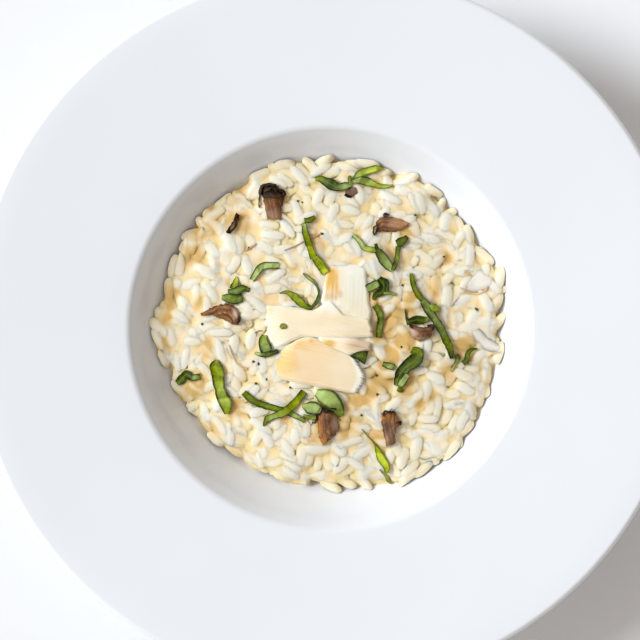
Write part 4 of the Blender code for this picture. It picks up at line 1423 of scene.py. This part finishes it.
# Basil: curl in radians and marks of (x, y, width, how bright, how pale); how bright holds the leaf's own
# green together with painted light, and above 1 a painted highlight
BASIL = [
    (0.9, [(315, 178, 4, 1.0, 0.1), (320, 177, 6, 0.9, 0.1), (325, 180, 9, 0.05, 0.2),
           (331, 183, 11, 0.0, 0.1), (338, 186, 9, 0.1, 0.3), (344, 185, 8, 0.2, 0.6),
           (351, 183, 6, 0.4, 0.6)]),
    (0.5, [(350, 174, 2, 0.6, 0.1), (350, 178, 4, 0.5, 0.3), (351, 183, 5, 0.4, 0.5)]),
    (0.7, [(353, 179, 4, 0.6, 0.5), (361, 172, 8, 1.1, 0.4), (369, 169, 8, 1.4, 0.3),
           (377, 167, 6, 1.2, 0.2), (385, 167, 1.5, 0.6, 0.0)]),
    (0.8, [(353, 180, 4, 0.5, 0.5), (361, 179, 8, 0.7, 0.6), (370, 181, 8, 0.9, 0.4),
           (377, 184, 6, 0.9, 0.2), (385, 185, 4.5, 0.8, 0.2), (394, 184, 2, 0.7, 0.1)]),
    (0.4, [(304, 220, 5, 0.6, 0.1), (310, 219, 6, 0.7, 0.0), (315, 216, 4, 0.5, 0.0)]),
    (0.6, [(301, 225, 2, 0.3, 0.9), (304, 224, 4, 0.4, 0.8), (305, 231, 7, 0.9, 0.1),
           (309, 244, 7, 0.9, 0.0), (314, 258, 7.5, 0.85, 0.0)]),
    (0.4, [(315, 257, 8, 0.9, 0.15), (320, 264, 9.5, 0.85, 0.0), (326, 273, 8, 0.9, 0.0)]),
    (1.0, [(251, 280, 5, 0.3, 0.8), (257, 271, 7.5, 0.4, 1.0), (262, 266, 7.5, 0.3, 0.9),
           (270, 265, 7, 0.35, 0.6), (279, 265, 6, 0.4, 1.0)]),
    (0.6, [(221, 297, 4, 0.5, 0.4), (227, 298, 9, 0.5, 0.3), (234, 299, 10, 0.4, 0.2),
           (242, 297, 7, 0.1, 0.0)]),
    (0.6, [(236, 276, 1.5, 1.0, 0.1), (235, 282, 6, 0.9, 0.1), (233, 289, 9, 0.3, 0.1)]),
    (0.9, [(227, 291, 4, 0.1, 0.2), (235, 291, 8, 0.1, 0.3), (242, 288, 7, 0.2, 0.1),
           (249, 290, 4, 0.1, 0.0)]),
    (0.6, [(279, 293, 1, 0.4, 0.1), (286, 292, 4, 0.5, 0.1), (292, 295, 7, 0.8, 0.1),
           (299, 301, 8, 1.0, 0.1), (305, 306, 6, 0.8, 0.0), (312, 308, 3.5, 0.4, 0.0)]),
    (0.8, [(311, 308, 3, 0.3, 0.0), (317, 301, 4, 0.1, 0.1), (319, 292, 2.4, 0.1, 0.1),
           (315, 283, 2.6, 0.1, 0.3), (309, 278, 3.6, 0.3, 0.5), (303, 273, 1.8, 0.1, 0.1)]),
    (0.8, [(353, 234, 3, 0.6, 0.9), (360, 241, 5, 0.6, 0.9), (364, 247, 5.5, 0.9, 0.4),
           (371, 249, 6, 0.9, 0.2), (378, 250, 6, 0.4, 0.1)]),
    (0.5, [(376, 243, 3, 0.1, 0.0), (377, 247, 4, 0.1, 0.0), (379, 251, 5, 0.1, 0.0)]),
    (0.9, [(378, 250, 7, 0.1, 0.1), (382, 256, 10, 0.3, 0.3), (387, 263, 10, 0.3, 0.6),
           (393, 270, 5, 0.3, 0.8)]),
    (0.6, [(393, 270, 4, 0.3, 0.1), (397, 261, 5, 0.35, 0.1), (398, 252, 5, 0.4, 0.1),
           (399, 246, 6, 0.3, 0.0)]),
    (0.7, [(397, 243, 6, 0.3, 0.0), (402, 241, 9, 0.15, 0.1), (408, 236, 4, 0.1, 0.0)]),
    (0.6, [(379, 278, 6, 0.0, 0.0), (384, 284, 12, 0.0, 0.0), (383, 291, 9, 0.05, 0.0),
           (376, 295, 6, 0.1, 0.0), (374, 300, 3, 0.4, 0.0)]),
    (0.4, [(367, 289, 8, 0.3, 0.7), (373, 286, 9, 0.3, 0.7), (379, 283, 7, 0.2, 0.4)]),
    (0.7, [(384, 293, 3, 0.6, 0.2), (391, 293, 3.2, 0.9, 0.3), (397, 295, 2.5, 0.8, 0.2)]),
    (0.7, [(375, 305, 7, 0.3, 0.0), (380, 313, 7, 0.3, 0.1), (381, 320, 7, 0.15, 0.0),
           (380, 329, 6.5, 0.3, 0.1), (379, 338, 6, 0.2, 0.0)]),
    (0.8, [(412, 273, 3, 0.5, 0.0), (413, 280, 5, 0.5, 0.0), (416, 290, 5.5, 0.6, 0.1),
           (420, 296, 6, 0.5, 0.0), (425, 302, 5, 0.4, 0.0)]),
    (1.0, [(424, 301, 7, 0.2, 0.6), (428, 307, 9, 0.2, 0.6), (431, 312, 9, 0.3, 0.5),
           (434, 317, 7, 0.2, 0.1)]),
    (0.4, [(431, 305, 4, 0.5, 0.2), (435, 308, 9, 0.6, 0.2), (441, 310, 2, 0.8, 0.0)]),
    (0.9, [(433, 315, 7, 0.15, 0.3), (438, 323, 8.5, 0.15, 0.3), (443, 331, 8.5, 0.2, 0.2),
           (447, 340, 8, 0.3, 0.0), (451, 349, 7, 0.2, 0.0), (453, 359, 4, 0.0, 0.0)]),
    (0.6, [(452, 372, 1.5, 0.6, 0.5), (456, 365, 3, 0.4, 0.5), (459, 359, 5, 0.2, 0.2),
           (457, 355, 4, 0.2, 0.0)]),
    (0.7, [(464, 364, 5, 0.1, 0.2), (468, 360, 6, 0.3, 0.2), (469, 354, 5, 0.5, 0.0),
           (473, 350, 4, 0.4, 0.0), (479, 349, 1.2, 0.4, 0.0)]),
    (0.4, [(406, 309, 1.6, 0.0, 0.0), (407, 317, 2.2, 0.0, 0.0), (409, 325, 3, 0.0, 0.0)]),
    (0.5, [(408, 322, 5, 0.0, 0.0), (416, 320, 8, 0.05, 0.0), (424, 320, 8, 0.3, 0.0),
           (430, 319, 3, 0.6, 0.0)]),
    (1.0, [(412, 350, 7, 0.3, 0.0), (418, 353, 12, 0.3, 0.0), (416, 360, 14, 0.2, 0.1),
           (407, 367, 12, 0.1, 0.1), (400, 376, 10, 0.05, 0.1), (396, 386, 4, 0.2, 0.1)]),
    (0.4, [(400, 386, 5, 0.3, 1.0), (404, 381, 8, 0.3, 1.0), (408, 375, 5, 0.3, 0.9)]),
    (0.4, [(398, 389, 4, 0.3, 0.0), (401, 390, 6, 0.3, 0.0), (404, 389, 4, 0.4, 0.0)]),
    (0.7, [(383, 364, 5, 0.3, 0.1), (389, 366, 7, 0.3, 0.5), (395, 368, 5, 0.2, 0.1)]),
    (0.4, [(351, 356, 2, 0.0, 0.0), (359, 356, 9, 0.05, 0.1), (367, 358, 15, 0.0, 0.0)]),
    (0.5, [(264, 335, 4, 0.9, 0.1), (263, 341, 10, 0.7, 0.3), (265, 348, 13, 0.4, 0.5),
           (268, 352, 9, 0.2, 0.3)]),
    (0.7, [(254, 353, 2, 0.4, 0.5), (261, 355, 5, 0.3, 0.6), (269, 354, 5.5, 0.1, 0.1),
           (278, 351, 4, 0.0, 0.0)]),
    (0.5, [(175, 384, 5, 0.3, 0.0), (180, 380, 9, 0.2, 0.0), (185, 375, 8, 0.0, 0.0),
           (190, 378, 7, 0.0, 0.1), (194, 378, 6, 0.3, 0.8), (199, 377, 6, 0.1, 0.0)]),
    (0.7, [(216, 360, 3, 0.8, 0.2), (215, 366, 12, 0.55, 0.0), (217, 375, 12, 0.6, 0.0),
           (218, 385, 11, 1.1, 0.2), (221, 396, 12, 1.2, 0.4), (225, 405, 13, 0.8, 0.2),
           (226, 415, 5, 1.0, 0.0)]),
    (0.7, [(243, 393, 7, 0.4, 0.0), (252, 401, 7.5, 0.3, 0.05), (264, 406, 7, 0.4, 0.0),
           (275, 409, 7, 0.7, 0.1), (284, 412, 7, 0.7, 0.0), (294, 416, 5, 0.5, 0.4),
           (305, 422, 4, 0.5, 0.2)]),
    (0.6, [(304, 392, 7, 0.6, 0.0), (298, 400, 7.5, 0.7, 0.0), (290, 408, 8, 0.65, 0.0),
           (281, 414, 8, 0.7, 0.1), (273, 417, 6, 0.6, 0.4), (267, 420, 7, 0.5, 0.1),
           (263, 427, 1.5, 0.1, 0.0)]),
    (0.4, [(316, 393, 7, 0.5, 0.7), (322, 396, 14, 0.5, 0.9), (330, 400, 17, 0.5, 0.8),
           (337, 408, 14, 0.4, 0.4), (342, 417, 5, 0.4, 0.0)]),
    (0.5, [(302, 406, 3, 0.2, 0.6), (308, 408, 11, 0.2, 0.8), (315, 409, 13, 0.2, 0.7),
           (321, 411, 6, 0.2, 0.4)]),
    (0.5, [(303, 416, 3, 0.5, 0.1), (309, 418, 4, 0.5, 0.1), (316, 418, 4, 0.5, 0.1)]),
    (0.3, [(362, 430, 0.9, 0.6, 0.0), (368, 437, 0.9, 0.6, 0.0), (375, 445, 1.6, 0.8, 0.0),
           (378, 451, 5, 1.2, 0.0), (382, 460, 8, 1.2, 0.1), (387, 468, 7.5, 1.05, 0.0),
           (387, 475, 2.5, 0.9, 0.0)]),
    (0.3, [(380, 471, 1.2, 0.7, 0.0), (386, 478, 1.8, 0.7, 0.2), (389, 482, 4, 0.8, 0.2),
           (392, 486, 1.2, 0.7, 0.0)]),
    (0.3, [(280, 328, 3, 0.9, 0.0), (283, 326, 5, 0.9, 0.1), (286, 328, 2.5, 0.8, 0.0)]),
    (0.3, [(476, 308, 1.5, 0.8, 0.2), (478, 309, 2.5, 0.8, 0.2), (479, 311, 1.5, 0.8, 0.2)]),
]
BASIL_PITCH = 0.28 * MM
BASIL_ACROSS = 15
BASIL_PASSES = 120
BASIL_THICKNESS = 0.3 * MM
BASIL_RAGGED = (0.12, 1.3 * MM)  # of a strip's width, and over which length
BASIL_BUMPS = (0.12 * MM, 1.2 * MM)  # height and size
CURL_HEIGHT = 0.35  # of the width, for the tangent of half the curl
FOLD_LENGTH = 3.2 * MM
FOLD_HEIGHT = 0.45 * MM
FOLD_SLANT = 0.25  # folds from the middle to a rim
FOLD_SHIFT = 0.37  # gives each strip folds of its own
FOLDED_WIDTH = 2.5 * MM  # strips of this width fold fully
RIB_WIDTH = 0.1  # of half the strip's width
VEIN_SPACING = 0.7 * MM
VEIN_SLANT = 0.35  # how far side veins lean back, of the width
VEIN_LINES = (2.0, 0.8)  # how sharp the veins are, and how much of the noise is left out
RIM_BAND = (0.55, 0.3)  # where a rim starts, of half the strip's width, and how softly
# Painted shade on a strip's curled rims
PAINTED_RIM_SHADE = 0.75  # how much darker a rim is
# Painted light and shade: each panel between folds is made brighter or darker
PAINTED_PANEL_LIGHT = (0.7, 0.8)  # how unlike the panels between folds are in brightness and in paleness
BRIGHT_MOTTLE = (0.12, 1.0 * MM)  # strength and size
PALE_MOTTLE = (0.3, 1.2 * MM)
VEIN_TONES = (0.3, 0.6)  # how light a rib is, and a vein's share of that


def make_basil_piece(gathered, ground, number, curl, marks):
    """A strip or shred of leaf with folds across it, rims that turn up, a midrib and side veins."""
    pixels, carried = ribbon_along(marks, BASIL_PITCH, BASIL_ACROSS)
    u, v = parts_of(pixels)
    along = u * path_length(marks)
    ragged = BASIL_RAGGED[0] * line_noise(along, BASIL_RAGGED[1], seed=80 + number)
    middle = pixels.mean(axis=1, keepdims=True)
    pixels = middle + (pixels - middle) * (1.0 + ragged)[..., None]
    spots = plan(pixels)
    side = 2.0 * v - 1.0
    width = np.linalg.norm(spots[:, -1:] - spots[:, :1], axis=-1)
    panel = along / FOLD_LENGTH + FOLD_SLANT * side + number * FOLD_SHIFT
    fold = np.abs(panel % 2.0 - 1.0)
    low = settled(ground.under(spots), BASIL_PASSES)
    low += CURL_HEIGHT * width * math.tan(0.5 * curl) * np.abs(side) ** 3
    low += FOLD_HEIGHT * fold * clipped(width / FOLDED_WIDTH)
    flat = np.stack([along, v * width], axis=-1)
    low += BASIL_BUMPS[0] * smooth_noise(flat, BASIL_BUMPS[1], seed=82 + number)
    points, faces = sheet_solid(spots, low, np.full(low.shape, BASIL_THICKNESS))
    ground.add(points, faces)
    rib = np.exp(-(side / RIB_WIDTH) ** 2)
    slanting = line_noise(along + VEIN_SLANT * np.abs(side) * width, VEIN_SPACING, seed=83 + number)
    veins = clipped(slanting * VEIN_LINES[0] - VEIN_LINES[1])
    rim = clipped((np.abs(side) - RIM_BAND[0]) / RIM_BAND[1])
    # Painted light and shade: each panel between folds gets a random brightness and paleness
    panel_light_and_shade = lattice(np.floor(panel)[..., None], 86 + number) - 0.5
    own_bright, own_pale = carried[..., 0], carried[..., 1]
    # Painted shade darkens the rims
    bright = own_bright * (1.0 - PAINTED_RIM_SHADE * rim) + PAINTED_PANEL_LIGHT[0] * panel_light_and_shade * own_bright
    bright += BRIGHT_MOTTLE[0] * smooth_noise(spots, BRIGHT_MOTTLE[1], seed=84)
    mottle = PALE_MOTTLE[0] * smooth_noise(spots, PALE_MOTTLE[1], seed=85)
    pale = own_pale * (1.0 - rim) * (1.0 + PAINTED_PANEL_LIGHT[1] * panel_light_and_shade + mottle)
    vein = VEIN_TONES[0] * np.maximum(rib, VEIN_TONES[1] * veins) * (1.0 - rim)
    gathered.add(points, faces, {
        "bright": both_sides(np.clip(bright, 0.0, PAINTED_HIGHLIGHT_TOP)), "under": both_sides(clipped(pale)),
        "vein": both_sides(vein)})


def make_basil(ground):
    """All the strips and shreds as one piece."""
    gathered = Gathered()
    for number, piece in enumerate(BASIL):
        make_basil_piece(gathered, ground, number, *piece)
    gathered.place("basil", basil_material(), "basil")


# Ground pepper and other dark specks of (x, y, half width, half height) in pixels
SPECKS = [
    (201, 324, 1.2, 1.2), (255, 384, 1.6, 1.3), (253, 362, 1.6, 1.2), (258, 364, 1.2, 1.6),
    (266, 380, 1.2, 1.1), (445, 256, 1.4, 1.2), (403, 285, 1.3, 1.3), (416, 214, 1.3, 1.0),
    (322, 233, 1.7, 1.2), (362, 416, 1.3, 1.2), (378, 395, 1.2, 1.4), (402, 347, 1.3, 1.2),
    (377, 376, 1.4, 1.1), (290, 388, 1.2, 1.2), (298, 200, 1.3, 1.0), (302, 201, 1.0, 1.0),
    (248, 247, 1.0, 1.0), (478, 309, 1.2, 1.0),
]
SPECK_RINGS = 5
SPECK_SEGMENTS = 8
SPECK_HALF_HEIGHT = 0.35 * MM
CRACKS = (0.65, 0.7)  # depth and size, of the speck's own half width
CRACK_SHIFT = 3.0  # gives each speck a shape of its own


def make_speck(gathered, ground, number, x, y, half_width, half_height):
    """One cracked crumb, half sunk in what it lies on."""
    rings = [(math.sin(tilt) * math.cos(turn), math.sin(tilt) * math.sin(turn), math.cos(tilt))
             for tilt in tilts(SPECK_RINGS) for turn in turns(SPECK_SEGMENTS)]
    shape = np.array(rings + [(0.0, 0.0, 1.0), (0.0, 0.0, -1.0)])
    depth, size = CRACKS
    shape *= 1.0 + depth * smooth_noise(shape + number * CRACK_SHIFT, size, seed=90)[:, None]
    middle = plan((x, y))
    points = shape * (half_width * PIXEL, half_height * PIXEL, SPECK_HALF_HEIGHT)
    points += (*middle, float(ground.under(middle)))
    gathered.add(points, oriented(points, ring_faces(SPECK_RINGS, SPECK_SEGMENTS)), {})


def make_specks(ground):
    """All the specks as one piece."""
    gathered = Gathered()
    for number, speck in enumerate(SPECKS):
        make_speck(gathered, ground, number, *speck)
    gathered.place("pepper_specks", pepper_material(), "pepper")


def make_toppings(heights):
    """Lays the toppings on a grid of heights, in the photograph's order of overlap."""
    ground = Ground(heights)
    pale = pale_slice_material()
    for piece in PALE_SLICES:
        make_pale_slice(ground, pale, *piece)
    cheese = cheese_material()
    for piece in CHEESE:
        make_cheese(ground, cheese, **piece)
    brown = mushroom_material()
    make_mushroom_bits(ground, brown)
    for number, piece in enumerate(MUSHROOMS):
        make_mushroom(ground, brown, number, *piece)
    make_basil(ground)
    make_specks(ground)


# ---------------------------------------------------------------- stage

CAMERA_DISTANCE = 1.3
CAMERA_REACH = 20.0  # how far the camera sees
KEY_AZIMUTH = math.radians(165.0)
KEY_ELEVATION = math.radians(37.0)
KEY_SPREAD = math.radians(27.0)
KEY_STRENGTH = 3.4
KEY_COLOUR = (0.84, 0.92, 1.0)
ROOM_STRENGTH = 0.515
ROOM_COLOUR = (1.0, 0.93, 0.87, 1.0)
ROOM_SIDES = (0.65, 1.35)  # how bright the room is on the right and on the window's side
BOUNCES = 16
DIFFUSE_BOUNCES = 12  # light finds its way out of pale crevices
FLOOR_HALF = 1.6


def make_camera():
    """Looks straight down, shifted a little, so that the bowl's axis falls where the photograph has it."""
    data = bpy.data.cameras.new("camera")
    data.sensor_fit = "HORIZONTAL"
    data.angle = 2.0 * math.atan(PHOTO_SIZE / 2.0 * PIXEL / CAMERA_DISTANCE)
    data.clip_end = CAMERA_REACH
    camera = bpy.data.objects.new("camera", data)
    bpy.context.scene.collection.objects.link(camera)
    aim = plan((PHOTO_SIZE / 2.0, PHOTO_SIZE / 2.0))
    camera.location = (aim[0], aim[1], RIM_HEIGHT + CAMERA_DISTANCE)
    bpy.context.scene.camera = camera


def make_light():
    """A large soft window on the left and an even white room."""
    data = bpy.data.lights.new("window", "SUN")
    data.energy = KEY_STRENGTH
    data.angle = KEY_SPREAD
    data.color = KEY_COLOUR
    light = bpy.data.objects.new("window", data)
    bpy.context.scene.collection.objects.link(light)
    towards = Vector((
        math.cos(KEY_ELEVATION) * math.cos(KEY_AZIMUTH),
        math.cos(KEY_ELEVATION) * math.sin(KEY_AZIMUTH),
        math.sin(KEY_ELEVATION)))
    light.rotation_euler = towards.to_track_quat("Z", "Y").to_euler()
    world = bpy.data.worlds.new("room")
    world.use_nodes = True
    tree = world.node_tree
    background = tree.nodes["Background"]
    background.inputs["Color"].default_value = ROOM_COLOUR
    direction = link(tree, "ShaderNodeTexCoord").outputs["Generated"]
    rightward = link(tree, "ShaderNodeSeparateXYZ", {"Vector": direction}).outputs["X"]
    side = link(tree, "ShaderNodeMapRange", {
        "Value": rightward, "From Min": 1.0, "From Max": -1.0,
        "To Min": ROOM_STRENGTH * ROOM_SIDES[0], "To Max": ROOM_STRENGTH * ROOM_SIDES[1]})
    tree.links.new(side.outputs["Result"], background.inputs["Strength"])
    bpy.context.scene.world = world
    bpy.context.scene.view_settings.view_transform = "Standard"
    bpy.context.scene.cycles.max_bounces = BOUNCES
    bpy.context.scene.cycles.diffuse_bounces = DIFFUSE_BOUNCES


def make_floor():
    """A plain white table."""
    made, tree = new_material("table", Roughness=0.6)
    colour = mix(tree, noise_texture(tree, scale=6.0), (0.850, 0.850, 0.855, 1.0), (0.865, 0.865, 0.870, 1.0))
    corners = [(x * FLOOR_HALF, y * FLOOR_HALF, 0.0) for x, y in ((-1, -1), (1, -1), (1, 1), (-1, 1))]
    mesh = bpy.data.meshes.new("table")
    mesh.from_pydata(corners, [], [(0, 1, 2, 3)])
    mesh.materials.append(coloured(made, colour))
    floor = bpy.data.objects.new("table", mesh)
    bpy.context.scene.collection.objects.link(floor)


make_camera()
make_light()
make_floor()
make_bowl()
make_toppings(make_heap())
